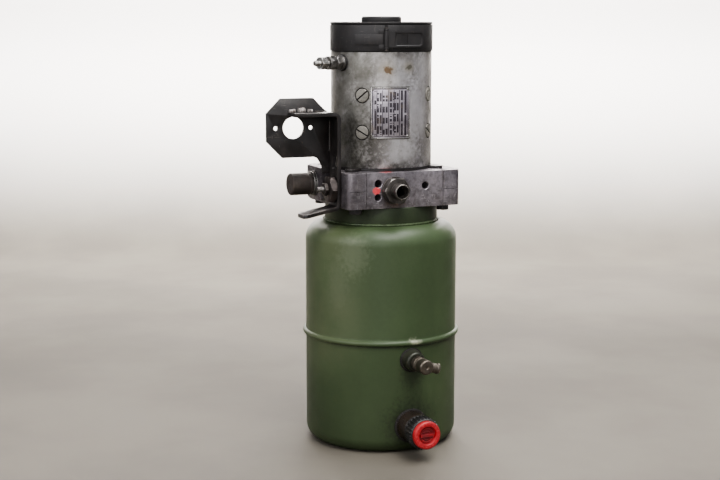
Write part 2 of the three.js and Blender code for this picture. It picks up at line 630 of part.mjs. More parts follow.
function makeFieldAndRotor() {
  const group = new THREE.Group();
  const screwSlot = box(-9, 9, -POLE_SCREW.slotW / 2, POLE_SCREW.slotW / 2, YOKE.r - 2, YOKE.r + 2);
  POLE.azimuths.forEach((az, i) => {
    const shoe = join(
      sector(38, 41.7, az - 26, az + 26, POLE.shoeLow, POLE.shoeHigh, 3),
      sector(41, YOKE.inner - GAP, az - 14, az + 14, POLE.shoeLow + 6, POLE.shoeHigh - 6, 2),
    );
    // Each pole shoe is held by two slotted screws, which show at the yoke's surface.
    const screws = POLE_SCREW.z.map((z, n) =>
      cut(
        poleScrew(az, z, POLE_SCREW.r, YOKE.inner - 2, YOKE.r + GAP),
        toFront(screwSlot.rotate([0, 0, POLE_SCREW.slotTurn[n]]), 0, z).rotate([0, 0, az]),
      ),
    );
    piece(group, `pole_shoe_${i + 1}`, join(shoe, ...screws), FINISH.darkSteel);
  });

  const coils = POLE.azimuths.map((az) =>
    cut(sector(42.1, 48.4, az - 27, az + 27, 322, 420, 3), sector(40, 52, az - 15.5, az + 15.5, 334, 408, 2)),
  );
  piece(group, "field_winding", join(ring(42.1, 47.5, 412, 420), ...coils), FINISH.copper);

  const shaft = turned(
    [
      [0, SHAFT.bottom + 6],
      [SHAFT.r, SHAFT.bottom + 6],
      [SHAFT.r, 453],
      [SHAFT.tip, 453],
      [SHAFT.tip, 466.5],
      [0, 466.5],
    ],
  );
  const tongue = box(-2.4, 2.4, -6, 6, SHAFT.bottom, SHAFT.bottom + 8);
  piece(group, "armature_shaft", join(shaft, tongue), FINISH.bareSteel);
  const core = turned(
    [
      [SHAFT.r + GAP, 321],
      [28, 321],
      [31, 330],
      [36.6, 330],
      [36.6, 410],
      [31, 410],
      [26, 421],
      [SHAFT.r + GAP, 421],
    ],
  );
  piece(group, "armature_core", core, FINISH.darkSteel);
  piece(group, "commutator", ring(SHAFT.r + GAP, 20, 422, 452), FINISH.copper);

  const holders = [0, 90, 180, 270].map((az) =>
    box(-6.9, 6.9, -40, -23, 424.5, 449)
      .subtract(box(-5.4, 5.4, -45, -20, 430.6, 447.4))
      .rotate([0, 0, az]),
  );
  piece(group, "brush_holder_ring", join(ring(23, 43, 424.5, 427.5), ...holders), FINISH.brassMesh);
  [0, 90, 180, 270].forEach((az, i) => {
    const brush = piece(group, `carbon_brush_${i + 1}`, box(-5, 5, -37.5, -20.4, 431, 447), FINISH.carbon);
    brush.rotation.z = rad(az);
  });
  piece(group, "upper_bearing", ring(SHAFT.tip + GAP, 10.9, 457, 464.6), FINISH.bareSteel);
  piece(group, "lower_bearing", ring(SHAFT.r + GAP, 17.3, 311.3, 319.5), FINISH.bareSteel);
  return group;
}

// ---- Pump, inside the tank ----------------------------------------------------------------------------
function gearOutline() {
  const pitchR = (GEAR.teeth * GEAR.module) / 2;
  const baseR = pitchR * Math.cos(rad(20));
  const tipR = pitchR + 0.85 * GEAR.module;
  const rootR = pitchR - 1.25 * GEAR.module;
  const involute = (r) => Math.tan(Math.acos(Math.min(1, baseR / r))) - Math.acos(Math.min(1, baseR / r));
  const halfTooth = (0.4 * Math.PI) / GEAR.teeth; // thinner than half the pitch, for backlash
  const points = [];
  for (let n = 0; n < GEAR.teeth; n += 1) {
    const middle = (2 * Math.PI * n) / GEAR.teeth;
    const flank = [rootR, baseR, (baseR + tipR) / 2, tipR];
    const offset = (r) => halfTooth + involute(pitchR) - involute(Math.max(r, baseR));
    for (const r of flank) points.push([r, middle - offset(r)]);
    for (const r of [...flank].reverse()) points.push([r, middle + offset(r)]);
  }
  return outline(points.map(([r, a]) => [r * Math.cos(a), r * Math.sin(a)]));
}

function makePump() {
  const group = new THREE.Group();
  const y2 = GEAR_CENTRES;
  const stadium = (r, low, high) =>
    join(
      disc(r, low, high),
      disc(r, low, high).translate([0, y2, 0]),
      box(-r, r, 0, y2, low, high),
    );
  const pockets = join(
    disc(PUMP.pocketR, PUMP.gearLow - 3, PUMP.gearHigh + GAP),
    disc(PUMP.pocketR, PUMP.gearLow - 3, PUMP.gearHigh + GAP).translate([0, y2, 0]),
  );
  const body = cut(
    stadium(PUMP.wallR, PUMP.gearLow - GAP, PUMP.top - GAP),
    pockets,
    disc(GEAR.journal + GAP, 240, 270),
    disc(GEAR.journal + GAP, 240, 258).translate([0, y2, 0]),
  );
  piece(group, "pump_body", body, FINISH.castAluminium);

  const inletX = 12;
  const cover = cut(
    stadium(PUMP.wallR, PUMP.endCover, PUMP.gearLow - 2 * GAP),
    disc(GEAR.journal + GAP, 225, 240),
    disc(GEAR.journal + GAP, 225, 240).translate([0, y2, 0]),
    disc(5, 215, 240).translate([inletX, y2 / 2, 0]),
  );
  piece(group, "pump_end_cover", cover, FINISH.castAluminium);

  const teeth = raised(gearOutline(), PUMP.gearLow + GAP, PUMP.gearLow + GAP + GEAR.width);
  const drive = cut(
    join(teeth, disc(GEAR.journal, 226, 269.5)),
    box(-2.8, 2.8, -8, 8, SHAFT.bottom - GAP, 272),
  );
  piece(group, "pump_drive_gear", drive, FINISH.bareSteel);
  const driven = piece(
    group,
    "pump_driven_gear",
    join(teeth.rotate([0, 0, 180 / GEAR.teeth]), disc(GEAR.journal, 226, 257)),
    FINISH.bareSteel,
  );
  driven.position.y = y2;

  const filter = join(
    disc(24, 14, 42),
    disc(7, 40, PUMP.endCover - GAP),
  ).subtract(disc(4.5, 30, PUMP.endCover + 1));
  const filterMesh = piece(group, "suction_filter", filter, FINISH.brassMesh);
  filterMesh.position.set(inletX, y2 / 2, 0);
  return group;
}

const unit = new THREE.Group();
unit.add(
  makeTank(),
  makeReturnLine(),
  makeFiller(),
  makeBlock(),
  makePortFitting(),
  makeSolenoidValve(),
  makeReliefValve(),
  makeBracket(),
  makeMotorHousing(),
  makeBandAndLatch(),
  makeTerminal(),
  makeFieldAndRotor(),
  makePump(),
);

export default unit;
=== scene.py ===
"""The looks of the hydraulic power unit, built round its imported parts. Metres, +Z up, the front at -Y."""
import json
import random
from math import atan2, cos, degrees, pi, radians, sin, sqrt, tan

import bpy
from mathutils import Matrix, Vector


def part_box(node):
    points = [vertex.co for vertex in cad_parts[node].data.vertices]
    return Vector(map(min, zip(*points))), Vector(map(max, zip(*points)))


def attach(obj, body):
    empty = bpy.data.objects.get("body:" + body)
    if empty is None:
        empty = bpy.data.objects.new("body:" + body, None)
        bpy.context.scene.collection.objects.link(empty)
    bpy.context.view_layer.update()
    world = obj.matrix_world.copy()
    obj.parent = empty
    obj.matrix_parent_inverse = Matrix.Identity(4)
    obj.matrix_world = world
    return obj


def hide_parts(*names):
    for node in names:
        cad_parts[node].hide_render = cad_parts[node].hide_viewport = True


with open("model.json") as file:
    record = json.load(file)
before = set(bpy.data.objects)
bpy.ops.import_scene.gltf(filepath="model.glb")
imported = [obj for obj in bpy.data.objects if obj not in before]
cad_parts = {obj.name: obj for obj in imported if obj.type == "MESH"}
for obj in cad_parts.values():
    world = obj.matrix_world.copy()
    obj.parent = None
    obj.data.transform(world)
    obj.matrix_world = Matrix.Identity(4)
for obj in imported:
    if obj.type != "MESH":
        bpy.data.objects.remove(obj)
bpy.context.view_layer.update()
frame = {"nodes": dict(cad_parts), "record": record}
scene = bpy.context.scene
DRAW = random.Random(7)


# ---- Camera and light ---------------------------------------------------------------------------------
def placed(data, name="piece"):
    made = bpy.data.objects.new(name, data)
    scene.collection.objects.link(made)
    return made


def make_camera():
    data = bpy.data.cameras.new("camera")
    data.lens = 70
    data.sensor_width = 36
    data.clip_start = 0.05
    camera = placed(data, "camera")
    camera.location = (-0.6215, -1.4387, 0.4688)
    forward = Vector((0.3782, 0.9129, -0.1535))
    camera.rotation_euler = forward.to_track_quat("-Z", "Y").to_euler()
    scene.camera = camera


def area_light(name, place, aim, size, power, colour=(1, 1, 1), spread=180):
    data = bpy.data.lights.new(name, "AREA")
    data.shape = "RECTANGLE"
    data.size, data.size_y = size
    data.energy = power
    data.color = colour
    data.spread = radians(spread)
    light = placed(data, name)
    light.location = place
    light.rotation_euler = (Vector(aim) - Vector(place)).to_track_quat("-Z", "Y").to_euler()


make_camera()


# ---- Node materials -----------------------------------------------------------------------------------
def srgb(r, g, b):
    def linear(v):
        v /= 255
        return v / 12.92 if v <= 0.04045 else ((v + 0.055) / 1.055) ** 2.4

    return (linear(r), linear(g), linear(b), 1)


class Look:
    """A material, with short calls for its nodes. Textures follow the part's own frame."""

    def __init__(self, name):
        self.mat = bpy.data.materials.new(name)
        self.mat.use_nodes = True
        self.tree = self.mat.node_tree
        self.bsdf = self.tree.nodes["Principled BSDF"]
        self.coord = self.node("ShaderNodeTexCoord").outputs["Object"]
        parts = self.node("ShaderNodeSeparateXYZ", {0: self.coord})
        self.x, self.y, self.z = parts.outputs
        self.colour = None

    def node(self, kind, inputs=None, **settings):
        made = self.tree.nodes.new(kind)
        for key, value in settings.items():
            setattr(made, key, value)
        for key, value in (inputs or {}).items():
            self.feed(made.inputs[key], value)
        return made

    def feed(self, socket, value):
        if isinstance(value, bpy.types.NodeSocket):
            self.tree.links.new(value, socket)
        else:
            socket.default_value = value

    def noise(self, scale, detail=4, rough=0.55, stretch=None, distort=0.0):
        vector = self.coord
        if stretch:
            vector = self.node("ShaderNodeMapping", {"Vector": vector, "Scale": stretch}).outputs[0]
        inputs = {"Vector": vector, "Scale": scale, "Detail": detail}
        inputs |= {"Roughness": rough, "Distortion": distort}
        return self.node("ShaderNodeTexNoise", inputs).outputs[0]

    def grain(self, low, high, *noise, to=(0, 1), **more_noise):
        """Noise spread out between two of its levels."""
        return self.levels(self.noise(*noise, **more_noise), low, high, *to)

    def maths(self, operation, a, b=0.0):
        return self.node("ShaderNodeMath", {0: a, 1: b}, operation=operation).outputs[0]

    def vector_maths(self, operation, inputs):
        return self.node("ShaderNodeVectorMath", inputs, operation=operation).outputs

    def levels(self, value, low, high, to_low=0.0, to_high=1.0):
        inputs = {"Value": value, 1: low, 2: high, 3: to_low, 4: to_high}
        return self.node("ShaderNodeMapRange", inputs, interpolation_type="SMOOTHSTEP").outputs[0]

    def blend(self, a, b, amount):
        return self.node("ShaderNodeMix", {0: amount, 6: a, 7: b}, data_type="RGBA").outputs[2]

    def base(self, dark, pale, amount):
        self.colour = self.blend(srgb(*dark), srgb(*pale), amount)

    def paint(self, shade, mask, strength=None):
        """Lays a colour over the rest where the mask is 1."""
        amount = mask if strength is None else self.both(mask, strength)
        self.colour = self.blend(self.colour, srgb(*shade), amount)

    def both(self, a, b):
        return self.maths("MULTIPLY", a, b)

    def most(self, a, b):
        return self.maths("MAXIMUM", a, b)

    def azimuth(self):
        """Radians round Z from the front towards +X."""
        return self.maths("ARCTAN2", self.x, self.maths("MULTIPLY", self.y, -1.0))

    def spot(self, place, size, soft=0.5, ragged=0.35, scale=(1, 1, 1)):
        """1 inside an uneven patch round a place, 0 outside it."""
        offset = self.vector_maths("SUBTRACT", {0: self.coord, 1: place})[0]
        squeezed = self.vector_maths("MULTIPLY", {0: offset, 1: scale})[0]
        far = self.vector_maths("LENGTH", {0: squeezed})["Value"]
        uneven = self.maths("MULTIPLY", self.maths("SUBTRACT", self.noise(260, 3), 0.5), size * ragged * 4)
        return self.levels(self.maths("ADD", far, uneven), size * (1 + soft), size * (1 - soft))

    def edge(self):
        """1 along the outer edges and corners, where paint wears first."""
        if not hasattr(self, "edges"):
            flat = self.node("ShaderNodeNewGeometry").outputs["Normal"]
            rounded = self.node("ShaderNodeBevel", {"Radius": 0.0007}, samples=4).outputs[0]
            same = self.vector_maths("DOT_PRODUCT", {0: flat, 1: rounded})["Value"]
            self.edges = self.levels(self.maths("SUBTRACT", 1.0, same), 0.03, 0.16)
        return self.edges

    def bump(self, height, strength, distance, under=None):
        inputs = {"Height": height, "Strength": strength, "Distance": distance}
        if under is not None:
            inputs["Normal"] = under
        return self.node("ShaderNodeBump", inputs).outputs[0]

    def finish(self, rough, metal=0.0, normal=None):
        self.feed(self.bsdf.inputs["Base Color"], self.colour)
        self.feed(self.bsdf.inputs["Roughness"], rough)
        self.feed(self.bsdf.inputs["Metallic"], metal)
        if normal is not None:
            self.feed(self.bsdf.inputs["Normal"], normal)
        return self.mat


# Marks on the tank, the last of them a painted highlight on the seam bead: place, radius, colour, strength and
# how the place is squeezed.
TANK_MARKS = (
    ((-0.058, -0.061, 0.221), 0.015, (112, 118, 98), 0.3, (1, 1, 0.8)),
    ((-0.071, -0.046, 0.186), 0.012, (96, 102, 82), 0.26, (1, 1, 0.5)),
    ((0, -0.085, 0.0315), 0.024, (27, 28, 21), 0.65, (1, 1, 1)),
    ((0.002, -0.085, 0.091), 0.012, (30, 32, 24), 0.45, (1, 1, 0.8)),
    # a painted highlight along the upper side of the seam bead
    ((0.003, -0.0885, 0.1265), 0.0036, (150, 150, 132), 0.8, (0.6, 1, 1)),
)


def tank_paint_look():
    k = Look("tank paint")
    streak = k.grain(0.45, 0.75, 22, 4, 0.6, stretch=(1, 1, 0.12))
    fine = k.grain(0.35, 0.65, 210, 4)
    k.base((56, 69, 45), (67, 82, 54), k.grain(0.35, 0.7, 7, 4, 0.55))
    k.paint((46, 57, 37), streak, 0.35)
    k.paint((76, 90, 62), fine, 0.08)
    # Painted shade: the paint grows darker towards the bottom of the tank, where less light falls.
    low = k.levels(k.z, 0.13, 0.0, 0.0, 0.4)
    k.paint((40, 47, 31), low)
    dusty = k.both(k.grain(0.55, 0.78, 20, 6, 0.7), 0.2)
    k.paint((118, 124, 102), dusty, k.levels(k.z, 0.2, 0.26))
    lines = k.grain(0.72, 0.75, 70, 2, 0.4, stretch=(1, 1, 14))
    marks = k.grain(0.725, 0.745, 90, 2, 0.4, stretch=(9, 9, 0.5))
    scuffs = k.both(k.most(lines, marks), k.grain(0.48, 0.62, 8, 2))
    k.paint((98, 106, 80), scuffs, 0.4)
    worn = k.both(k.edge(), k.grain(0.4, 0.65, 60, 4, 0.6))
    k.paint((40, 44, 32), worn, 0.55)
    chips = k.grain(0.765, 0.775, 120, 3, 0.6)
    k.paint((62, 50, 36), chips)
    seam = k.both(k.levels(k.z, 0.1225, 0.1215), k.levels(k.z, 0.117, 0.121))
    grime = k.both(seam, k.grain(0.35, 0.6, 45, 5, 0.7))
    k.paint((34, 38, 27), grime, 0.6)
    sheen = k.both(k.levels(k.x, -0.035, -0.075), k.grain(0.3, 0.7, 12, 4, 0.6, to=(0.12, 0.36)))
    k.paint((104, 108, 82), sheen, k.levels(k.z, 0.06, 0.14))
    for place, size, shade, amount, scale in TANK_MARKS:
        k.paint(shade, k.spot(place, size, 0.7, 0.5, scale), amount)
    # Painted shade: the neck collar darkened in patches, standing for the shade under the valve block.
    collar = k.both(k.levels(k.z, 0.2505, 0.2535), k.grain(0.2, 0.7, 30, 5, 0.7, to=(0.35, 0.75)))
    k.paint((36, 40, 30), collar)
    rough = k.grain(0.3, 0.7, 20, 5, to=(0.4, 0.52))
    k.feed(k.bsdf.inputs["Specular IOR Level"], 0.4)
    peel = k.bump(k.noise(420, 2, 0.5), 0.1, 0.0003)
    sag = k.bump(k.noise(14, 2, 0.4, stretch=(1, 1, 0.35)), 0.3, 0.0016, peel)
    dents = k.bump(chips, 0.4, -0.0002, sag)
    return k.finish(rough, 0.0, dents)


PLATE_AZ = (-34.5, 9.2)  # the nameplate's ends, degrees round from the front
# Rust spots on the motor body: azimuth in degrees, height, radius and colour.
RUST_SPOTS = ((-15.6, 0.418, 0.0044, (92, 70, 44)), (8.7, 0.421, 0.0034, (88, 85, 76)))
# Dark smears and pale painted highlights on the motor body: azimuth, height, radius, colour, strength and how
# much it is stretched upright.
YOKE_SMEARS_AND_HIGHLIGHTS = (
    (-30, 0.333, 0.016, (70, 66, 62), 0.75, 0.8),
    (-46, 0.352, 0.013, (64, 62, 56), 0.6, 0.5),
    (26, 0.334, 0.010, (84, 79, 76), 0.6, 0.7),
    (-44, 0.408, 0.012, (84, 82, 74), 0.5, 0.7),
    (14, 0.404, 0.014, (86, 83, 84), 0.45, 0.5),
    # the pale ones below are painted highlights
    (4, 0.327, 0.017, (212, 210, 214), 0.6, 1.0),
    (20, 0.375, 0.012, (206, 203, 208), 0.45, 0.4),
    (-2, 0.410, 0.012, (208, 206, 210), 0.4, 0.9),
)


def on_yoke(az, z):
    r = 0.056  # near the motor body's surface
    return (r * sin(radians(az)), -r * cos(radians(az)), z)


def yoke_look():
    k = Look("yoke steel")
    k.base((124, 120, 116), (182, 179, 178), k.grain(0.32, 0.68, 18, 6, 0.65, distort=0.6))
    mottled = k.grain(0.42, 0.66, 85, 6, 0.7)
    k.paint((104, 99, 94), mottled, 0.5)
    olive = k.grain(0.55, 0.7, 22, 6, 0.72, stretch=(1, 1, 0.4), distort=1.2)
    k.paint((88, 88, 74), olive, 0.62)
    runs = k.grain(0.6, 0.72, 60, 4, 0.6, stretch=(1, 1, 0.07))
    k.paint((70, 67, 64), runs, 0.6)
    pale = k.grain(0.62, 0.7, 48, 5, 0.6, stretch=(1, 1, 0.25))
    k.paint((208, 208, 212), pale, 0.4)
    specks = k.grain(0.64, 0.7, 190, 4, 0.7)
    k.paint((54, 48, 44), specks, 0.75)
    brown = k.grain(0.68, 0.75, 37, 7, 0.75)
    k.paint((92, 74, 58), brown, 0.5)
    shaded = k.both(k.levels(k.x, -0.022, -0.05), k.grain(0.3, 0.65, 26, 6, 0.7, to=(0.25, 0.75)))
    k.paint((82, 82, 72), shaded)
    # Painted shade: the right-hand side of the motor body darkened.
    painted_right_shade = k.both(k.levels(k.x, 0.03, 0.052), k.grain(0.3, 0.65, 24, 5, 0.65, to=(0.4, 0.75)))
    k.paint((98, 93, 90), painted_right_shade)
    # Painted highlight: a pale band down the middle of the motor body, standing for the front lamp's reflection.
    bright = k.both(k.levels(k.x, -0.008, 0.012), k.levels(k.x, 0.04, 0.026))
    bright = k.both(bright, k.grain(0.35, 0.62, 30, 5, 0.65, stretch=(1, 1, 0.3)))
    k.paint((216, 213, 216), bright, 0.4)
    for az, z, size, shade, amount, upright in YOKE_SMEARS_AND_HIGHLIGHTS:
        k.paint(shade, k.spot(on_yoke(az, z), size, 0.9, 0.9, (1, 1, upright)), amount)
    for az, z, size, shade in RUST_SPOTS:
        k.paint((146, 138, 122), k.spot(on_yoke(az, z), size * 1.7, 0.8, 0.5), 0.5)
        k.paint(shade, k.spot(on_yoke(az, z), size, 0.35, 0.6, (0.85, 0.85, 1.15)), 0.85)
    azimuth = k.azimuth()
    left_of, right_of = (radians(az) for az in PLATE_AZ)
    beyond_left = k.levels(azimuth, left_of - 0.026, left_of - 0.008)
    beside = k.both(beyond_left, k.levels(azimuth, right_of + 0.026, right_of + 0.008))
    over = k.both(k.levels(k.z, 0.3436, 0.3448), k.levels(k.z, 0.4012, 0.4000))
    k.paint((58, 53, 50), k.both(beside, over), 0.85)
    foot = k.both(k.levels(k.z, 0.33, 0.313), k.grain(0.35, 0.6, 40, 5, 0.7))
    k.paint((48, 44, 40), foot, 0.85)
    head = k.both(k.levels(k.z, 0.426, 0.4374), k.grain(0.4, 0.62, 55, 5, 0.7))
    k.paint((66, 62, 58), head, 0.65)
    rough = k.grain(0.3, 0.7, 50, 5, 0.7, to=(0.36, 0.54))
    metal = k.levels(k.most(brown, k.both(olive, 0.5)), 0.0, 1.0, 0.72, 0.3)
    drawn = k.bump(k.noise(240, 3, 0.6, stretch=(1, 1, 0.05)), 0.12, 0.0002)
    pits = k.bump(k.noise(330, 4, 0.7), 0.22, 0.0002, drawn)
    return k.finish(rough, metal, pits)


def black_paint_look(name, shade, wear, dust, rough_from=0.3, rough_to=0.55):
    """Dark paint with scratches, bare edges and chips. Wear and dust run from 0 to 1."""
    k = Look(name)
    lighter = tuple(min(255, v + 16) for v in shade)
    k.base(shade, lighter, k.grain(0.35, 0.7, 30, 5, 0.6))
    dusty = k.grain(0.5, 0.72, 42, 6, 0.7)
    k.paint((104, 92, 84), dusty, dust * 0.6)
    marks = k.grain(0.69, 0.73, 150, 2, 0.4, stretch=(7, 7, 0.6))
    across = k.grain(0.7, 0.74, 130, 2, 0.4, stretch=(0.8, 0.8, 9))
    scratched = k.both(k.most(marks, across), k.grain(0.45, 0.6, 14, 2))
    k.paint((142, 132, 124), scratched, 0.15 + 0.6 * wear)
    ragged = k.grain(0.42, 0.58, 170, 5, 0.7)
    worn = k.both(k.both(k.edge(), ragged), wear)
    k.paint((134, 120, 108), worn)
    chips = k.both(k.grain(0.7, 0.73, 95, 4, 0.65), wear)
    k.paint((112, 88, 70), chips)
    bare = k.most(worn, chips)
    rough = k.grain(0.3, 0.7, 60, 5, 0.7, to=(rough_from, rough_to))
    peel = k.bump(k.noise(600, 2), 0.15, 0.0002)
    flakes = k.bump(bare, 0.35, -0.00015, peel)
    return k.finish(rough, k.both(bare, 0.7), flakes)


def aluminium_look():
    k = Look("block aluminium")
    k.base((94, 90, 95), (150, 144, 149), k.grain(0.32, 0.68, 24, 6, 0.65))
    mottled = k.grain(0.42, 0.66, 130, 5, 0.7)
    k.paint((74, 70, 72), mottled, 0.5)
    grime = k.grain(0.53, 0.7, 34, 6, 0.75, distort=0.8)
    k.paint((54, 47, 44), grime, 0.7)
    left_end = k.both(k.levels(k.x, -0.03, -0.05), k.grain(0.3, 0.6, 40, 5, 0.7, to=(0.2, 0.5)))
    k.paint((66, 61, 62), left_end)
    lines = k.grain(0.66, 0.71, 240, 2, 0.4, stretch=(0.5, 0.5, 8))
    tilted = k.grain(0.68, 0.72, 200, 2, 0.4, stretch=(6, 6, 0.7))
    scratched = k.both(k.most(lines, tilted), k.grain(0.42, 0.58, 20, 2))
    k.paint((206, 200, 200), scratched, 0.6)
    worn = k.both(k.edge(), k.grain(0.35, 0.6, 200, 4))
    k.paint((196, 190, 190), worn, 0.6)
    rust_run = k.spot((-0.011, -0.0625, 0.276), 0.007, 0.9, 0.5, (0.7, 1, 1.2))
    k.paint((88, 70, 54), rust_run, 0.7)
    dab = k.spot((-0.0318, -0.062, 0.2893), 0.0044, 0.2, 0.22)
    smear = k.both(k.spot((-0.0185, -0.0575, 0.3092), 0.0036, 0.4, 0.4, (0.5, 1, 1.6)), 0.75)
    red = k.most(dab, smear)
    front = k.levels(k.y, -0.053, -0.056)
    red = k.both(red, front)
    k.paint((196, 62, 66), red, 0.9)
    rough = k.grain(0.3, 0.7, 70, 5, 0.7, to=(0.34, 0.58))
    metal = k.levels(k.most(red, k.both(grime, 0.7)), 0.0, 1.0, 0.78, 0.05)
    cast = k.bump(k.noise(420, 4, 0.7), 0.25, 0.0002)
    tool = k.bump(lines, 0.3, -0.0001, cast)
    return k.finish(rough, metal, tool)


def steel_look(name, pale, dark, rust, rusty, rough_from, rough_to, metal=0.85):
    """Bare or plated metal. Rusty says how much of it has rusted, from 0 to 1."""
    k = Look(name)
    k.base(dark, pale, k.grain(0.32, 0.68, 60, 6, 0.65))
    grime = k.grain(0.5, 0.68, 120, 6, 0.75)
    k.paint((54, 44, 36), grime, 0.6)
    spots = k.grain(0.66 - 0.16 * rusty, 0.74 - 0.1 * rusty, 75, 7, 0.75, distort=0.5)
    k.paint(rust, spots, 0.85)
    worn = k.both(k.edge(), k.grain(0.3, 0.55, 260, 4))
    k.paint((min(255, v + 40) for v in pale), worn, 0.7)
    rough = k.grain(0.3, 0.7, 90, 5, 0.7, to=(rough_from, rough_to))
    keep = k.levels(k.most(spots, k.both(grime, 0.5)), 0.0, 1.0, metal, 0.15)
    pits = k.bump(k.noise(480, 4, 0.7), 0.3, 0.0002)
    return k.finish(rough, keep, k.bump(spots, 0.3, 0.0002, pits))


def plastic_look(name, shade, rough_from, rough_to, dirt=0.4, dirt_colour=(88, 80, 72), packed=None):
    """Plastic with grime. Packed is the place and radius of one dirty patch."""
    k = Look(name)
    darker = tuple(v * 0.82 for v in shade)
    k.base(darker, shade, k.grain(0.3, 0.7, 70, 4))
    grime = k.grain(0.5, 0.7, 95, 6, 0.72)
    k.paint(dirt_colour, grime, dirt)
    worn = k.both(k.edge(), k.grain(0.35, 0.6, 240, 4))
    k.paint((min(255, v + 45) for v in shade), worn, 0.5)
    if packed:
        k.paint(dirt_colour, k.spot(*packed, 0.5, 0.6), 0.6)
    rough = k.grain(0.3, 0.7, 110, 4, to=(rough_from, rough_to))
    return k.finish(rough, 0.0, k.bump(k.noise(700, 3, 0.6), 0.2, 0.0002))


def weld_look(name, pale, dark, rust):
    k = Look(name)
    k.base(dark, pale, k.grain(0.35, 0.65, 220, 5, 0.7))
    spots = k.grain(0.5, 0.64, 120, 5, 0.7)
    k.paint(rust, spots, 0.7)
    rough = k.grain(0.3, 0.7, 200, 4, to=(0.35, 0.65))
    return k.finish(rough, 0.25, k.bump(k.noise(600, 4, 0.7), 0.4, 0.0003))


CAP_RECESS = ((0, -0.1255, 0.0315), 0.0072)  # its place and radius
RUSTY_ZINC = (84, 72, 60)
LOOKS = {
    "tank_paint": tank_paint_look(),
    "bare_steel": yoke_look(),
    "black_paint": black_paint_look("black paint", (24, 21, 21), 0.5, 0.2),
    "block_aluminium": aluminium_look(),
    "dark_steel": steel_look("oily steel", (118, 114, 111), (70, 66, 63), (80, 62, 48), 0.4, 0.28, 0.5),
    "zinc_steel": steel_look("zinc plating", (158, 156, 154), (96, 93, 90), RUSTY_ZINC, 0.2, 0.22, 0.42, 0.9),
    "black_rubber": plastic_look("black rubber", (34, 31, 30), 0.5, 0.75),
    "black_plastic": plastic_look("black plastic", (31, 29, 30), 0.32, 0.55, 0.3),
    "red_plastic": plastic_look("red plastic", (174, 38, 42), 0.4, 0.64, 0.45, (70, 24, 30), CAP_RECESS),
    "copper": steel_look("copper", (186, 128, 92), (140, 92, 64), (92, 72, 50), 0.3, 0.3, 0.5),
    "brass": steel_look("brass", (178, 156, 98), (130, 112, 70), (96, 78, 46), 0.2, 0.35, 0.55),
    "carbon": plastic_look("carbon", (38, 38, 40), 0.4, 0.6, 0.2),
}
ENAMEL = black_paint_look("black enamel", (22, 20, 21), 0.08, 0.12, 0.5, 0.66)
BOSS_STEEL = steel_look("boss steel", (50, 52, 42), (32, 34, 27), (52, 40, 30), 0.3, 0.35, 0.55, 0.3)
BROWN_STEEL = steel_look("brown steel", (96, 89, 80), (66, 60, 53), (84, 58, 40), 0.3, 0.36, 0.58, 0.75)
ELBOW_STEEL = steel_look("elbow steel", (116, 109, 100), (76, 70, 63), (74, 56, 42), 0.3, 0.3, 0.5)
ZINC_PALE, ZINC_DARK = (198, 196, 194), (136, 133, 130)
BRIGHT_ZINC = steel_look("bright zinc", ZINC_PALE, ZINC_DARK, (92, 82, 72), 0.05, 0.18, 0.34, 0.95)
RELIEF_STEEL = steel_look("relief steel", (82, 74, 72), (50, 45, 44), (66, 48, 40), 0.3, 0.38, 0.6, 0.7)
OILY_BOSS = plastic_look("oily boss", (42, 34, 29), 0.2, 0.42, 0.5, (64, 50, 40))
COIL_PLASTIC = plastic_look("coil plastic", (58, 50, 46), 0.6, 0.78, 0.25)
SCREW_STEEL = steel_look("screw steel", (146, 143, 136), (112, 109, 103), (96, 84, 72), 0.1, 0.4, 0.58, 0.7)
SOOT = plastic_look("packed dirt", (30, 26, 24), 0.7, 0.85, 0.2, (52, 44, 38))
DULL_STEEL = steel_look("dull steel", (104, 99, 96), (62, 58, 56), (70, 56, 46), 0.4, 0.36, 0.6)
GREEN_WELD = weld_look("painted weld", (84, 97, 70), (58, 70, 47), (50, 56, 38))
BLACK_WELD = weld_look("worn weld", (196, 190, 186), (52, 46, 44), (96, 84, 76))


# ---- Meshes -------------------------------------------------------------------------------------------
UP = Matrix.Identity(4)
# A shape drawn in XY and raised along Z is turned by these to be raised along Y or along X.
RAISED_ALONG_Y = Matrix(((1, 0, 0, 0), (0, 0, 1, 0), (0, 1, 0, 0), (0, 0, 0, 1)))
RAISED_ALONG_X = Matrix(((0, 0, 1, 0), (1, 0, 0, 0), (0, 1, 0, 0), (0, 0, 0, 1)))
GAP = 0.0003  # the clearance the CAD leaves between neighbours


class Span:
    """A node's box. Front and left are where it starts and ends along -Y and -X, and r is half its width."""

    def __init__(self, node):
        self.low, self.high = (Vector(v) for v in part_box(node))
        self.mid = (self.low + self.high) / 2
        self.size = self.high - self.low
        self.r = self.size.x / 2
        self.front = -self.high.y, -self.low.y
        self.left = -self.high.x, -self.low.x


# The radii of the tank, the motor's body and its cover band.
TANK_R = Span("tank_lower_shell").r
YOKE_R = Span("motor_yoke").r
BAND_R = max(Span("brush_cover_band").size[:2]) / 2


def pointing(direction, base):
    """The matrix that stands a shape made along +Z on a base point, along a direction."""
    turn = Vector(direction).to_track_quat("Z", "Y").to_matrix().to_4x4()
    return Matrix.Translation(Vector(base)) @ turn


def frontwards(x, z, y=0):
    return pointing((0, -1, 0), (x, y, z))


def leftwards(y, z):
    return pointing((-1, 0, 0), (0, y, z))


def spin(angle):
    """A turn about Z, in degrees."""
    return Matrix.Rotation(radians(angle), 4, "Z")


def outwards(az, z):
    """Out of the Z axis at a height, at an azimuth in degrees from the front towards +X."""
    return spin(az) @ frontwards(0, z)


def azimuth_of(x, y):
    return degrees(atan2(x, -y))


def shaded(mesh, sharp):
    mesh.shade_smooth()
    mesh.set_sharp_from_angle(angle=radians(sharp))
    return mesh


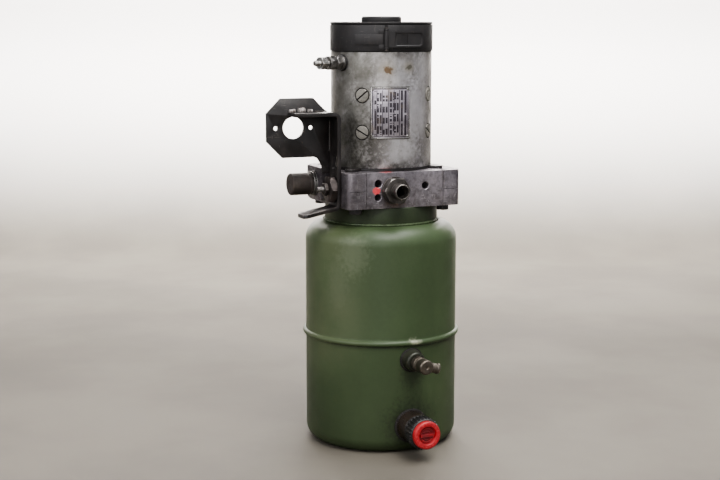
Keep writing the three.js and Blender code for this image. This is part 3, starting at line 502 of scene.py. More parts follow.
def add(vertices, faces, sharp=35):
    mesh = bpy.data.meshes.new("piece")
    mesh.from_pydata([tuple(v) for v in vertices], [], faces)
    mesh.validate()
    return placed(shaded(mesh, sharp))


def settle(made, sharp=35):
    """The object with its modifiers applied. A curve becomes a mesh."""
    depsgraph = bpy.context.evaluated_depsgraph_get()
    mesh = shaded(bpy.data.meshes.new_from_object(made.evaluated_get(depsgraph)), sharp)
    made.modifiers.clear()
    if made.type == "MESH":
        made.data = mesh
        return made
    bpy.data.objects.remove(made)
    return placed(mesh)


def bevelled(made, width, segments=2, angle=40):
    modifier = made.modifiers.new("bevel", "BEVEL")
    modifier.width = width
    modifier.segments = segments
    modifier.limit_method = "ANGLE"
    modifier.angle_limit = radians(angle)
    return settle(made, 50)


def cut(made, *tools):
    for tool in tools:
        modifier = made.modifiers.new("cut", "BOOLEAN")
        modifier.operation = "DIFFERENCE"
        modifier.solver = "EXACT"
        modifier.object = tool
    made = settle(made)
    for tool in tools:
        bpy.data.objects.remove(tool)
    return made


def rect(x0, x1, y0, y1):
    return [(x0, y0), (x1, y0), (x1, y1), (x0, y1)]


def arc(x, y, r, start, end, steps, r_up=None):
    """Points on an arc between two angles in degrees, both ends included. With r_up it is part of an ellipse."""
    angles = [radians(start + (end - start) * i / steps) for i in range(steps + 1)]
    return [(x + r * cos(a), y + (r_up or r) * sin(a)) for a in angles]


def circle(x, y, r, count):
    return arc(x, y, r, 0, 360, count)[:-1]


def softened(profile, radius, steps=3):
    """A profile with its corners rounded."""
    out = [profile[0]]
    for before, corner, after in zip(profile, profile[1:], profile[2:]):
        a, b, c = Vector(before), Vector(corner), Vector(after)
        one, two = a - b, c - b
        reach = min(radius, one.length * 0.45, two.length * 0.45)
        if reach < 1e-6 or one.angle(two, 0) > radians(165):
            out.append(corner)
            continue
        start, end = b + one.normalized() * reach, b + two.normalized() * reach
        for i in range(steps + 1):
            t = i / steps
            point = start * (1 - t) ** 2 + b * 2 * t * (1 - t) + end * t**2
            out.append((point.x, point.y))
    out.append(profile[-1])
    return out


def rounded_loop(points, radius, steps):
    return softened([points[-1], *points, points[0]], radius, steps)[1:-1]


def surface(profile, place=UP, segments=96, sharp=35):
    """Joins rings of (radius, height) about the axis. A radius is a number, or a list round the ring."""
    rings = [(r if isinstance(r, list) else [r] * (1 if r < 1e-7 else segments), h) for r, h in profile]
    vertices, faces, starts = [], [], []
    for radii, height in rings:
        starts.append(len(vertices))
        for i, r in enumerate(radii):
            a = 2 * pi * i / len(radii)
            vertices.append(place @ Vector((r * cos(a), r * sin(a), height)))
    for n in range(len(rings) - 1):
        one, two = len(rings[n][0]), len(rings[n + 1][0])
        count = max(one, two)
        for i in range(count):
            j = (i + 1) % count
            if one == 1:
                faces.append((starts[n], starts[n + 1] + j, starts[n + 1] + i))
            elif two == 1:
                faces.append((starts[n] + i, starts[n] + j, starts[n + 1]))
            else:
                faces.append((starts[n] + i, starts[n] + j, starts[n + 1] + j, starts[n + 1] + i))
    return add(vertices, faces, sharp)


def turned(profile, place=UP, soft=0.0004, segments=96):
    """Turns a profile of (radius, height), outwards at the bottom. One that starts off the axis is closed."""
    complete = profile[0][0] == 0 or profile[0] == profile[-1]
    if complete:
        return surface(softened(profile, soft), place, segments)
    shaped = softened(profile + profile[:2], soft)[1:-1]
    return surface([*shaped, shaped[0]], place, segments)


def hexagon(across, low, high, bore, place, chamfer):
    """A hexagon with turned chamfers on its corners and a round bore."""
    count, side, tip = 72, radians(60), across / sqrt(3)
    slope = chamfer / (tip - across / 2)

    def ring(inset):
        limit = max(tip - inset / slope, across / 2 * 0.985)
        angles = (2 * pi * i / count for i in range(count))
        return [min(across / 2 / cos((a % side) - side / 2), limit) for a in angles]

    steps = (0, 0.3, 0.6, 1.0)
    rings = [(bore, low)]
    rings += [(ring(chamfer * (1 - s)), low + chamfer * s) for s in steps]
    rings += [(ring(chamfer * (1 - s)), high - chamfer * s) for s in reversed(steps)]
    rings += [(bore, high), (bore, low)] if bore else [(0, high)]
    return surface(rings, place, count, 25)


def threaded(radius, low, high, place, pitch, depth):
    """A rod with a cut thread and chamfered ends."""
    segments, chamfer = 28, 0.0008
    levels = max(4, int((high - low) / pitch * 6))
    rings = [(0, low)]
    for n in range(levels + 1):
        h = low + (high - low) * n / levels
        top = radius - max(0, chamfer - min(h - low, high - h))
        phases = [(h / pitch - i / segments) % 1 for i in range(segments)]
        rings.append(([min(top, radius - depth * (1 - abs(2 * phase - 1))) for phase in phases], h))
    return surface([*rings, (0, high)], place, segments, 60)


def prism(outline, low, high, place=UP, width=0.0004, holes=(), segments=2):
    """An outline in XY, with holes, raised from low to high and bevelled."""
    curve = bpy.data.curves.new("outline", "CURVE")
    curve.dimensions = "2D"
    curve.fill_mode = "BOTH"
    curve.extrude = (high - low) / 2
    for loop in (outline, *holes):
        spline = curve.splines.new("POLY")
        spline.points.add(len(loop) - 1)
        for point, (x, y) in zip(spline.points, loop):
            point.co = (x, y, 0, 1)
        spline.use_cyclic_u = True
    made = settle(placed(curve))
    made.data.transform(place @ Matrix.Translation((0, 0, (low + high) / 2)))
    if place.determinant() < 0:
        made.data.flip_normals()
    weld = made.modifiers.new("weld", "WELD")
    weld.merge_threshold = 1e-6
    return bevelled(made, width, segments) if width else settle(made)


def bar(length, width, low, high, place, bevel=0):
    """A straight bar across the axis, given half its length and half its width."""
    return prism(rect(-length, length, -width, width), low, high, place, bevel)


def arch(inner, outer, from_az, to_az, low, high, width=0.0003, steps=24):
    """A curved plate between two azimuths, counted in degrees from the front towards +X."""
    ends = from_az - 90, to_az - 90
    outline = arc(0, 0, outer, *ends, steps) + arc(0, 0, inner, *reversed(ends), steps)
    return prism(outline, low, high, UP, width)


def weld_bead(path, radius, closed=True, flat=1.0):
    """A rippled bead along a path of points."""
    count, around, pitch = len(path), 10, 0.0022
    vertices, faces, run = [], [], 0.0
    for n, point in enumerate(path):
        before = path[n - 1] if n or closed else point
        after = path[(n + 1) % count] if n < count - 1 or closed else point
        along = (after - before).normalized()
        side = along.orthogonal().normalized()
        if abs(along.z) < 0.9:
            side = along.cross(Vector((0, 0, 1))).normalized()
        up = side.cross(along)
        run += (point - before).length if n else 0
        ripple = abs(sin(pi * run / pitch))
        size = radius * (0.84 + 0.2 * ripple + DRAW.uniform(-0.05, 0.07))
        if not closed and n in (0, count - 1):
            size *= 0.35
        for x, y in circle(0, 0, size, around):
            vertices.append(point + side * x + up * y * flat)
    for n in range(count if closed else count - 1):
        m = (n + 1) % count
        for i in range(around):
            j = (i + 1) % around
            faces.append((n * around + i, n * around + j, m * around + j, m * around + i))
    if not closed:
        faces.append(tuple(reversed(range(around))))
        faces.append(tuple((count - 1) * around + i for i in range(around)))
    return add(vertices, faces, 60)


def ring_path(place, radius, count, height=0.0, onto=None):
    """Points round a circle. With onto, each is carried to the front of a cylinder of that radius about Z."""
    points = [place @ Vector((x, y, height)) for x, y in circle(0, 0, radius, count)]
    if onto:
        for point in points:
            point.y = -sqrt(max(onto**2 - point.x**2, 0))
    return points


def line_path(start, end, step=0.0006):
    a, b = Vector(start), Vector(end)
    count = max(3, int((b - a).length / step))
    return [a.lerp(b, i / count) for i in range(count + 1)]


def grouped(parts):
    """Joins parts into one object, each keeping its own material."""
    mesh = bpy.data.meshes.new("piece")
    vertices, faces, owners, looks = [], [], [], []
    for part in parts:
        look = part.data.materials[0] if part.data.materials else None
        if look not in looks:
            looks.append(look)
        start = len(vertices)
        vertices += [tuple(part.matrix_world @ v.co) for v in part.data.vertices]
        for face in part.data.polygons:
            faces.append(tuple(start + i for i in face.vertices))
            owners.append(looks.index(look))
        bpy.data.objects.remove(part)
    mesh.from_pydata(vertices, [], faces)
    for look in looks:
        mesh.materials.append(look)
    mesh.polygons.foreach_set("material_index", owners)
    return placed(shaded(mesh, 35))


def wear(made, look):
    made.data.materials.clear()
    made.data.materials.append(look)
    return made


SLOT_OF = {row["node"]: row["material_slot"] for row in frame["record"]["subparts"]}
BODY_OF = {node: body for body, nodes in frame["record"]["behaviour"]["bodies"].items() for node in nodes}


def stand_for(made, node, look=None, name=None):
    """Dresses a piece or a list of parts, rides it on the node's body and shows it in place of the node."""
    if isinstance(made, list):
        made = grouped(made)
    slot = SLOT_OF[node]
    made.name = name or node
    if look or not any(made.data.materials):
        wear(made, look or LOOKS[slot])
    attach(made, BODY_OF[node])
    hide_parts(node)


# ---- Tank ---------------------------------------------------------------------------------------------
def make_tank():
    low, up, neck = Span("tank_lower_shell"), Span("tank_upper_shell"), Span("neck_collar")
    r, wall, corner, shoulder = TANK_R, 0.0025, 0.016, 0.0205
    shell = [(0, 0), *arc(r - corner, corner, corner, -90, 0, 10), (r, low.high.z), (r - wall, low.high.z)]
    shell += [(r - wall, corner), (r - corner, wall), (0, wall)]
    body = turned(shell, soft=0, segments=144)
    holes = []
    for node, hole_r, segments in (("filler_boss", 0.0124, 48), ("return_boss", 0.006, 32)):
        mid = Span(node).mid
        holes.append(turned(rect(0, hole_r, 0, 0.03), frontwards(mid.x, mid.z, -0.07), 0, segments))
    stand_for(cut(body, *holes), "tank_lower_shell")

    seam, top, lap = low.high.z, up.high.z, r + GAP
    half = seam - up.low.z
    inner = neck.r - 0.012
    bead = arc(lap, seam, up.r - lap, -90, 90, 12, half + 0.0004)
    dome = arc(r - shoulder, top - shoulder, shoulder, 0, 90, 12)
    shell = [(lap, up.low.z), *bead, (r, seam + half + 0.003), *dome, (inner, top), (inner, top - wall)]
    shell += [(r - shoulder, top - wall), (r - wall, top - shoulder)]
    shell += [(r - wall, seam + GAP), (lap, seam + GAP)]
    stand_for(turned(shell, soft=0.0006, segments=144), "tank_upper_shell")

    tube = neck.r - 0.0036
    collar = turned(rect(inner, tube, neck.low.z, neck.high.z), soft=0.0012, segments=144)
    bead = weld_bead(ring_path(UP, tube + 0.0003, 420, neck.low.z + 0.0008), 0.0018, flat=0.8)
    stand_for([wear(collar, LOOKS["tank_paint"]), wear(bead, GREEN_WELD)], "neck_collar")


def welded_boss(node, bore, inset, root, neck, soft, segments, look, beads, bead_r):
    """A boss on the tank with a dirty weld round its foot. The neck is what follows the foot's profile."""
    boss = Span(node)
    at = frontwards(boss.mid.x, boss.mid.z)
    foot = boss.r - inset
    profile = [(bore, TANK_R - root), (foot, TANK_R - root), (foot, TANK_R + 0.0025)]
    profile += [*neck, (bore, boss.front[1])]
    bead = weld_bead(ring_path(at, foot, beads, 0, TANK_R + 0.0006), bead_r)
    stand_for([wear(turned(profile, at, soft, segments), look), wear(bead, SOOT)], node)


def make_return_line():
    boss, nipple, elbow = Span("return_boss"), Span("return_nipple"), Span("return_elbow")
    end, r = boss.front[1], boss.r
    neck = [(r - 0.0021, TANK_R + 0.006), (r - 0.0021, end - 0.0015), (r - 0.0036, end)]
    welded_boss("return_boss", 0.006, 0.001, 0.001, neck, 0.0006, 64, BOSS_STEEL, 120, 0.0016)

    x, z = boss.mid.x, boss.mid.z
    at = frontwards(x, z)
    (low, high), r = nipple.front, nipple.r
    step, rim, tube, bore = low + 0.009, r - 0.0012, 0.0056, 0.0032
    count, teeth = 176, 44
    knurl = [r - 0.0003 * (1 + cos(2 * pi * i * teeth / count)) for i in range(count)]
    rings = [(bore, low), (tube, low), (tube, step), (r - 0.0008, step), (knurl, step + 0.0008)]
    rings += [(knurl, high - 0.0036), (rim, high - 0.003), (rim, high - 0.0014), (r, high - 0.0008)]
    rings += [(r, high), (bore, high), (bore, low)]
    stand_for(surface(rings, at, count, 40), "return_nipple", look=BROWN_STEEL)

    (low, high), r = elbow.front, elbow.high.z - z
    groove = r - 0.0005
    body = [(0, low), (r, low), (r, low + 0.0016), (groove, low + 0.002), (groove, low + 0.0027)]
    body += [(r, low + 0.0031), (r, high - 0.0014), (r - 0.0014, high), (0.0018, high)]
    knob = turned([*body, (0.0014, high - 0.0006), (0, high - 0.0006)], at, 0.0004, 64)
    tilt, reach, tube, lip, bore = radians(14), 0.017, 0.0052, 0.0058, 0.003
    side = pointing((cos(tilt), 0, -sin(tilt)), (x, -low - 0.0075, z))
    spout = [(bore, 0.004), (tube, 0.004), (tube, reach - 0.003), (lip, reach - 0.0026)]
    spout += [(lip, reach), (bore, reach)]
    stand_for([knob, turned(spout, side, 0.0004, 48)], "return_elbow", look=ELBOW_STEEL)


def make_filler():
    boss, seal = Span("filler_boss"), Span("filler_cap_seal")
    body, insert = Span("filler_cap_body"), Span("filler_cap_insert")
    at = frontwards(boss.mid.x, boss.mid.z)
    end, r = boss.front[1], boss.r
    neck = [(r - 0.0024, TANK_R + 0.007), (r - 0.0024, end)]
    welded_boss("filler_boss", 0.0124, 0.0012, 0.002, neck, 0.0007, 96, OILY_BOSS, 190, 0.0019)
    stand_for(turned(rect(0.013, 0.0165, *seal.front), at, 0.0007, 64), "filler_cap_seal", name="filler_seal")

    (plug, face), flange = body.front, seal.front[1] + GAP
    grip_r, rib_r, plug_r = 0.0170, body.r, 0.0118
    count, ribs = 240, 28
    valley = grip_r - 0.0004
    waves = [max(0.0, sin(2 * pi * i / count * ribs)) ** 0.6 for i in range(count)]

    def ribbed(inset):
        return [valley - inset + (rib_r - valley) * wave for wave in waves]

    rings = [(0, plug), (plug_r - 0.0009, plug), (plug_r, plug + 0.0009), (plug_r, flange)]
    rings += [(grip_r - 0.0012, flange), (grip_r - 0.0002, flange + 0.0008)]
    rings += [(grip_r - 0.0002, flange + 0.0021), (ribbed(0.0004), flange + 0.0026)]
    rings += [(ribbed(0), flange + 0.0032), (ribbed(0), face - 0.0026), (ribbed(0.0006), face - 0.0016)]
    rings += [(grip_r - 0.0006, face - 0.0008), (grip_r - 0.0014, face), (0.012, face), (0, face - 0.0002)]
    stand_for(surface(rings, at, count, 40), "filler_cap_body")

    (low, high), outer = insert.front, insert.r
    floor = high - 0.003
    disc = [(0, low), (outer, low), (outer, high - 0.0012), (outer - 0.0012, high), (0.0104, high)]
    disc += [(0.0096, high - 0.0012), (0.0094, floor), (0, floor)]
    parts = [turned(disc, at, 0.0005, 96), bar(0.0078, 0.0015, floor - 0.0004, high - 0.0008, at, 0.0005)]
    for side in (32, 212):
        for r in (0.0042, 0.0068):
            land = arch(r, r + 0.0012, side, side + 116, floor - 0.0004, high - 0.0021, 0.0003, 12)
            land.data.transform(at @ spin(-90))
            parts.append(land)
    ticks = 18
    for i in range(ticks):
        tick = rect(0.0118, 0.0136, -0.0006, 0.0006)
        turn = at @ spin(360 * i / ticks)
        parts.append(prism(tick, high - 0.0004, high + 0.0003, turn, 0.0002, segments=1))
    stand_for(parts, "filler_cap_insert")


# ---- Valve block --------------------------------------------------------------------------------------
FRONT_HOLES = (  # x, z, radius and depth
    (-0.0297, 0.297, 0.0042, 0.018),
    (-0.0301, 0.2821, 0.0037, 0.018),
    (0.0262, 0.2931, 0.0040, 0.018),
    (-0.011, 0.2895, 0.0072, 0.028),
)


def make_block():
    block = Span("valve_block")
    left, right, half_y, top = block.low.x, block.high.x, block.size.y / 2, block.high.z
    bottom = Span("neck_collar").high.z
    corners = [(right, -half_y), (right, half_y), (left, half_y), (left, -half_y)]
    body = prism(rounded_loop(corners, 0.0075, 8), bottom, top, UP, 0.0009, segments=3)
    tools = []
    sink = 0.0006
    for x, z, r, depth in FRONT_HOLES:
        profile = [(0, half_y - depth), (r, half_y - depth), (r, half_y - sink), (r + sink, half_y + 1e-5)]
        profile += [(r + sink, half_y + 0.004), (0, half_y + 0.004)]
        tools.append(turned(profile, frontwards(x, z), 0, 40))

    below, above = bottom - 0.001, top + 0.001
    grooves = [(x - 0.0006, x + 0.0006, below, above, 0.0012) for x in (-0.0436, 0.0474)]
    grooves += [
        (left - 0.001, -0.0446, 0.2886, 0.2896, 0.0014),
        (0.0479, right + 0.001, 0.2878, 0.2888, 0.0014),
        (-0.0545, -0.0542, below, above, 0.0003),
    ]
    for x0, x1, z0, z1, depth in grooves:
        tools.append(prism(rect(x0, x1, -half_y - 0.002, -half_y + depth), z0, z1, UP, 0))
    below, above, bolt_at, bolt_hole_r = bottom - 0.002, top + 0.002, 0.052, 0.0044
    for x in (-bolt_at, bolt_at):
        for y in (-bolt_at, bolt_at):
            place = Matrix.Translation((x, y, 0))
            tools.append(turned(rect(0, bolt_hole_r, below, above), place, 0, 32))
    for node, r in (("valve_side_block", 0.0092), ("relief_valve_body", 0.0077)):
        mid = Span(node).mid
        tools.append(turned(rect(0, r, -left - 0.025, 0.004 - left), leftwards(mid.y, mid.z), 0, 40))
    shaft_r, spigot_r = 0.010, 0.0541
    tools.append(turned(rect(0, shaft_r, below, above), UP, 0, 40))
    spigot = turned(rect(shaft_r, spigot_r, block.low.z, bottom + 0.0005), UP, 0.0005, 96)
    stand_for([cut(body, *tools), spigot], "valve_block")

    for n in range(1, 5):
        bolt = Span(f"corner_bolt_{n}")
        at = Matrix.Translation((bolt.mid.x, bolt.mid.y, 0))
        head_top = bottom - GAP
        head = hexagon(0.013, bolt.low.z, head_top, 0, at, 0.0009)
        shank = threaded(0.004, head_top - 0.0005, bolt.high.z, at, 0.00125, 0.0006)
        stand_for([head, shank], f"corner_bolt_{n}")


def make_port():
    washer, fitting = Span("port_washer"), Span("port_fitting")
    at = frontwards(fitting.mid.x, fitting.mid.z)
    ring = turned(rect(0.0073, washer.r, *washer.front), at, 0.0004, 72)
    stand_for(ring, "port_washer", look=DULL_STEEL)
    hex_low, tip = washer.front[1] + GAP, fitting.front[1]
    hex_high = hex_low + 0.008
    nut = hexagon(fitting.size.x, hex_low, hex_high, 0.0060, at, 0.0016)
    r, mouth, root, bore = 0.0087, 0.0070, 0.046, 0.005
    tube = [(bore, root), (mouth, root), (mouth, hex_low + 0.001), (r - 0.0006, hex_high)]
    tube += [(r - 0.0006, hex_high + 0.0012), (r, hex_high + 0.0018), (r, tip - 0.0012), (r - 0.0008, tip)]
    tube += [(mouth, tip), (mouth - 0.0002, tip - 0.006), (bore, tip - 0.009)]
    stand_for([nut, turned(tube, at, 0.0004, 72)], "port_fitting")


def make_side_valve():
    side, nut, coil = Span("valve_side_block"), Span("coil_retaining_nut"), Span("solenoid_coil")
    y, z, bore = coil.mid.y, coil.mid.z, 0.0044
    at = leftwards(y, z)
    face = -side.low.x
    near = face - 0.0102
    front, back, bottom, top = side.low.y, side.high.y, side.low.z, side.high.z
    outline = rounded_loop([(back, bottom), (back, top), (front, top), (front, bottom)], 0.0022, 4)
    slab = prism(outline, side.low.x, -near, RAISED_ALONG_X, 0.0007, segments=3)
    slab = cut(slab, turned(rect(0, bore, 0.05, 0.09), at, 0, 40))
    parts = [slab, turned(rect(bore, 0.009, 0.043, near + 0.001), at, 0.0004, 48)]
    for dy, dz in ((-0.016, -0.0105), (0.016, 0.0135)):
        plug = [(0, face - 0.001), (0.0034, face - 0.001), (0.0034, face + 0.0001), (0.0018, face + 0.0001)]
        plug += [(0.0016, face - 0.0008), (0, face - 0.0008)]
        parts.append(turned(plug, leftwards(y + dy, side.mid.z + dz), 0.0002, 32))
    stand_for(parts, "valve_side_block")

    (low, high), r = nut.left, nut.size.y / 2
    neck = r - 0.0026
    ring = [(bore, low), (r, low), (r, low + 0.0011), (neck, low + 0.0012), (neck, low + 0.0025)]
    ring += [(r - 0.0006, low + 0.0026), (r - 0.0006, high - 0.0002), (r - 0.001, high), (bore, high)]
    stand_for(turned(ring, at, 0.0003, 72), "coil_retaining_nut", name="coil_nut")

    (low, high), r = coil.left, coil.size.y / 2
    groove, floor = r - 0.0004, high - 0.004
    cap = [(bore, low), (r, low), (r, low + 0.003), (groove, low + 0.0033), (groove, low + 0.0039)]
    cap += [(r, low + 0.0042), (r, high - 0.0012), (r - 0.0012, high), (0.004, high), (0.0036, high - 0.0005)]
    cap += [(0, high - 0.0005), (0, floor), (bore, floor), (bore, low)]
    stand_for(turned(cap, at, 0.0004, 72), "solenoid_coil", look=COIL_PLASTIC, name="valve_coil")


def make_relief_valve():
    body, nut, screw = Span("relief_valve_body"), Span("relief_lock_nut"), Span("relief_adjusting_screw")
    at = leftwards(body.mid.y, body.mid.z)
    bore, hex_high = 0.0033, body.left[1]
    hex_low = hex_high - 0.0075
    head = hexagon(body.size.z, hex_low, hex_high, bore, at, 0.0014)
    stem = turned(rect(bore, 0.0075, 0.041, hex_low + 0.0005), at, 0.0004, 48)
    stand_for([head, stem], "relief_valve_body", look=RELIEF_STEEL, name="relief_body")
    made = hexagon(0.013, *nut.left, bore, at, 0.001)
    stand_for(made, "relief_lock_nut", look=DULL_STEEL, name="relief_nut")
    start, end = screw.left
    rod = threaded(screw.size.z / 2, start, end, at, 0.001, 0.00045)
    made = cut(rod, bar(0.006, 0.0007, end - 0.0018, end + 0.002, at))
    stand_for(made, "relief_adjusting_screw", name="relief_screw")


# ---- Bracket ------------------------------------------------------------------------------------------
def make_bracket():
    strap, plate = Span("bracket_strap"), Span("socket_plate")
    thick, bend, foot_end = 0.004, 0.0075, -0.1075
    inner, top, front, rear = strap.high.x, strap.high.z, strap.low.y, strap.high.y
    outer = inner - thick
    slope = tan(radians(11))
    foot_z = lambda x: 0.2715 + (x - outer) * slope
    section = [(inner, 0.2725), (inner - 0.0015, 0.2695), (outer, foot_z(outer) - thick)]
    section += [(foot_end, foot_z(foot_end) - thick), (foot_end, foot_z(foot_end))]
    section += [(outer - 0.003, foot_z(outer - 0.003)), (outer - 0.001, foot_z(outer) + 0.0005)]
    section += [(outer, foot_z(outer) + 0.002), *arc(inner - bend, top - bend, bend - thick, 0, 90, 6)]
    section += [(strap.low.x, top - thick), (strap.low.x, top)]
    section += arc(inner - bend, top - bend, bend, 90, 0, 10)
    body = prism(section, front, rear, RAISED_ALONG_Y, 0)
    window = rounded_loop([(-0.040, 0.312), (-0.025, 0.312), (-0.030, 0.327), (-0.040, 0.327)], 0.0015, 3)
    relief = Span("relief_valve_body").mid
    tools = [prism(window, outer - 0.003, inner + 0.003, RAISED_ALONG_X, 0)]
    tools += [turned(rect(0, 0.0081, 0.06, 0.08), leftwards(relief.y, relief.z), 0, 48)]
    for y, sign in ((front, 1), (rear, -1)):
        corner = [(foot_end - 0.001, y - 0.001 * sign), (foot_end + 0.0045, y - 0.001 * sign)]
        corner += [(foot_end + 0.002, y + 0.0014 * sign), (foot_end - 0.001, y + 0.0045 * sign)]
        tools.append(prism(corner, 0.25, 0.275, UP, 0))
    black = LOOKS["black_paint"]
    parts = [wear(bevelled(cut(body, *tools), 0.0005, 2, 50), black)]
    under = top - thick
    welds = (  # from and to, each as x and z, then the bead's radius and look
        (-0.1160, top + 0.0002, -0.1085, top + 0.0012, 0.0026, BLACK_WELD),
        (-0.1060, top + 0.0014, -0.0975, top + 0.0016, 0.0034, BLACK_WELD),
        (-0.0950, top + 0.0010, -0.0890, top + 0.0004, 0.0024, BLACK_WELD),
        (-0.0870, top, inner - bend, top, 0.0014, black),
        (strap.low.x + 0.006, under, inner - 0.012, under, 0.0014, black),
        (outer, 0.33, outer, 0.364, 0.0014, black),
    )
    for x0, z0, x1, z1, size, look in welds:
        path = line_path((x0, rear - 0.001, z0), (x1, rear - 0.001, z1))
        parts.append(wear(weld_bead(path, size, False), look))
    stand_for(parts, "bracket_strap")

    right, left, high = plate.high.x, plate.low.x, plate.high.z
    edge = [(right, 0.306), (right, 0.366), (-0.0876, high), (left + 0.016, high), (left, high - 0.016)]
    edge += [(left, 0.3425), (left + 0.018, 0.3245), (-0.0865, 0.3245), (-0.0825, 0.3225), (-0.0785, 0.316)]
    edge += [(-0.0775, 0.313), (-0.0775, 0.306)]
    x, z, apart = -0.1106, 0.3566, 0.02
    holes = [circle(x, z, 0.0119, 64), circle(x - apart, z, 0.0025, 24), circle(x + apart, z, 0.0025, 24)]
    stand_for(prism(edge, plate.low.y, plate.high.y, RAISED_ALONG_Y, 0.0005, holes), "socket_plate")


# ---- Motor --------------------------------------------------------------------------------------------
# Azimuths in degrees from the front towards +X, of the pole shoes, the shield's ears and the brush windows.
POLE_AZ = (45, 135, 225, 315)
POLE_SCREWS_Z = (0.351, 0.391)
EAR_AZ = (54, 126, 234, 306)
WINDOW_AZ = (0, 90, 180, 270)


def make_motor():
    yoke, cap, boss = Span("motor_yoke"), Span("commutator_end_cap"), Span("bearing_cap")
    shield, band, stud = Span("drive_end_shield"), Span("brush_cover_band"), Span("terminal_stud").mid
    r, inside = YOKE_R, 0.05
    tools = []
    for az in POLE_AZ:
        for z in POLE_SCREWS_Z:
            recess = [(0, inside - 0.003), (0.0084, inside - 0.003), (0.0084, r - 0.0003), (0.0087, r)]
            tools.append(turned([*recess, (0.0087, r + 0.003), (0, r + 0.003)], outwards(az, z), 0, 48))
    tools.append(turned(rect(0, 0.005, 0.045, 0.06), outwards(azimuth_of(stud.x, stud.y), stud.z), 0, 32))
    tube = turned(rect(inside, r, yoke.low.z, yoke.high.z), UP, 0.0007, 160)
    stand_for(cut(tube, *tools), "motor_yoke", name="yoke")

    foot, hub_top = Span("valve_block").high.z, shield.low.z + 0.008
    hub_r, bearing_r, shaft_r = 0.0497, 0.0176, 0.0095
    hub = [(shaft_r, foot), (hub_r, foot), (hub_r, hub_top), (bearing_r, hub_top), (bearing_r, foot + 0.002)]
    parts = [turned(rect(bearing_r, r - 0.0008, foot, yoke.low.z), UP, 0.0005, 96)]
    parts.append(turned([*hub, (shaft_r, foot + 0.002)], UP, 0.0005, 96))
    ear_r, ear_at = 0.0065, -0.0635
    for az in EAR_AZ:
        ear = [(-ear_r, -0.05), *arc(0, ear_at, ear_r, 180, 360, 12), (ear_r, -0.05)]
        parts.append(prism(ear, foot, yoke.low.z, spin(az), 0.0005))
    stand_for(parts, "drive_end_shield")

    top, skirt, rim, ring_r, seat_r = cap.high.z, 0.0556, cap.r, 0.0225, 0.0112
    face = top - 0.0009
    shape = [(inside, cap.low.z), (skirt, cap.low.z), (skirt, top - 0.0028), (rim, top - 0.0021), (rim, top)]
    shape += [(rim - 0.0016, top), (rim - 0.0024, face), (ring_r, face), (ring_r, top), (seat_r, top)]
    lid = turned([*shape, (seat_r, top - 0.004), (inside, top - 0.004)], UP, 0.0005, 160)
    window = rect(-0.012, 0.012, -0.06, -0.045)
    windows = [prism(window, 0.441, 0.459, spin(az), 0) for az in WINDOW_AZ]
    seat = [(0.0045, 0.456), (0.016, 0.456), (0.016, top - 0.0035), (seat_r, top - 0.0035)]
    seat += [(seat_r, 0.4566), (0.0045, 0.4566)]
    parts = [cut(lid, *windows), turned(seat, UP, 0.0003, 48)]
    stand_for(parts, "commutator_end_cap", look=ENAMEL, name="end_cap")

    r, low, high = boss.r, boss.low.z, boss.high.z
    shape = [(0, low), (r, low), (r, high - 0.0015), (r - 0.0012, high), (0.006, high)]
    shape += [(0.0045, high - 0.0006), (0, high - 0.0006)]
    stand_for(turned(shape, UP, 0.0006), "bearing_cap", look=ENAMEL)

    pin = Span("latch_pin").mid
    start = azimuth_of(pin.x, pin.y) + 1.6
    strip = arch(BAND_R - 0.0008, BAND_R, start, start + 356.8, band.low.z, band.high.z, 0.0003, 144)
    stand_for(strip, "brush_cover_band", look=ENAMEL, name="band")


def latch_blade(lever, inner, outer, start, end):
    """The lever's curved plate: a slight ridge along both edges, and a rounded end."""
    steps, tip, thinnest, edge = 40, 0.0085, 0.0006, 0.0024
    mid, half = (lever.low.z + lever.high.z) / 2, lever.size.z / 2
    rows = []
    for i in range(steps + 1):
        here = start + (end - start) * i / steps
        left = radians(end - here) * outer
        height = half if left > tip else half * sqrt(max(0.0, 1 - ((tip - left) / tip) ** 2))
        height = max(height, thinnest)
        dip = 0.0006 if -8 < here < 24 else 0.0
        upper = [(outer - dip, height - edge), (outer, height - 0.0016)]
        if height < 0.003:
            upper = [(outer, height * 0.3), (outer, height * 0.6)]
        upper += [(outer, height), (inner, height)]
        section = [(r, -h) for r, h in reversed(upper)] + upper
        a = radians(here - 90)
        rows.append([Vector((r * cos(a), r * sin(a), mid + h)) for r, h in section])
    width, last = len(rows[0]), steps * len(rows[0])
    faces = []
    for n in range(steps):
        for i in range(width):
            j = (i + 1) % width
            faces.append((n * width + i, (n + 1) * width + i, (n + 1) * width + j, n * width + j))
    faces += [tuple(range(width)), tuple(last + i for i in reversed(range(width)))]
    return add([v for row in rows for v in row], faces, 40)


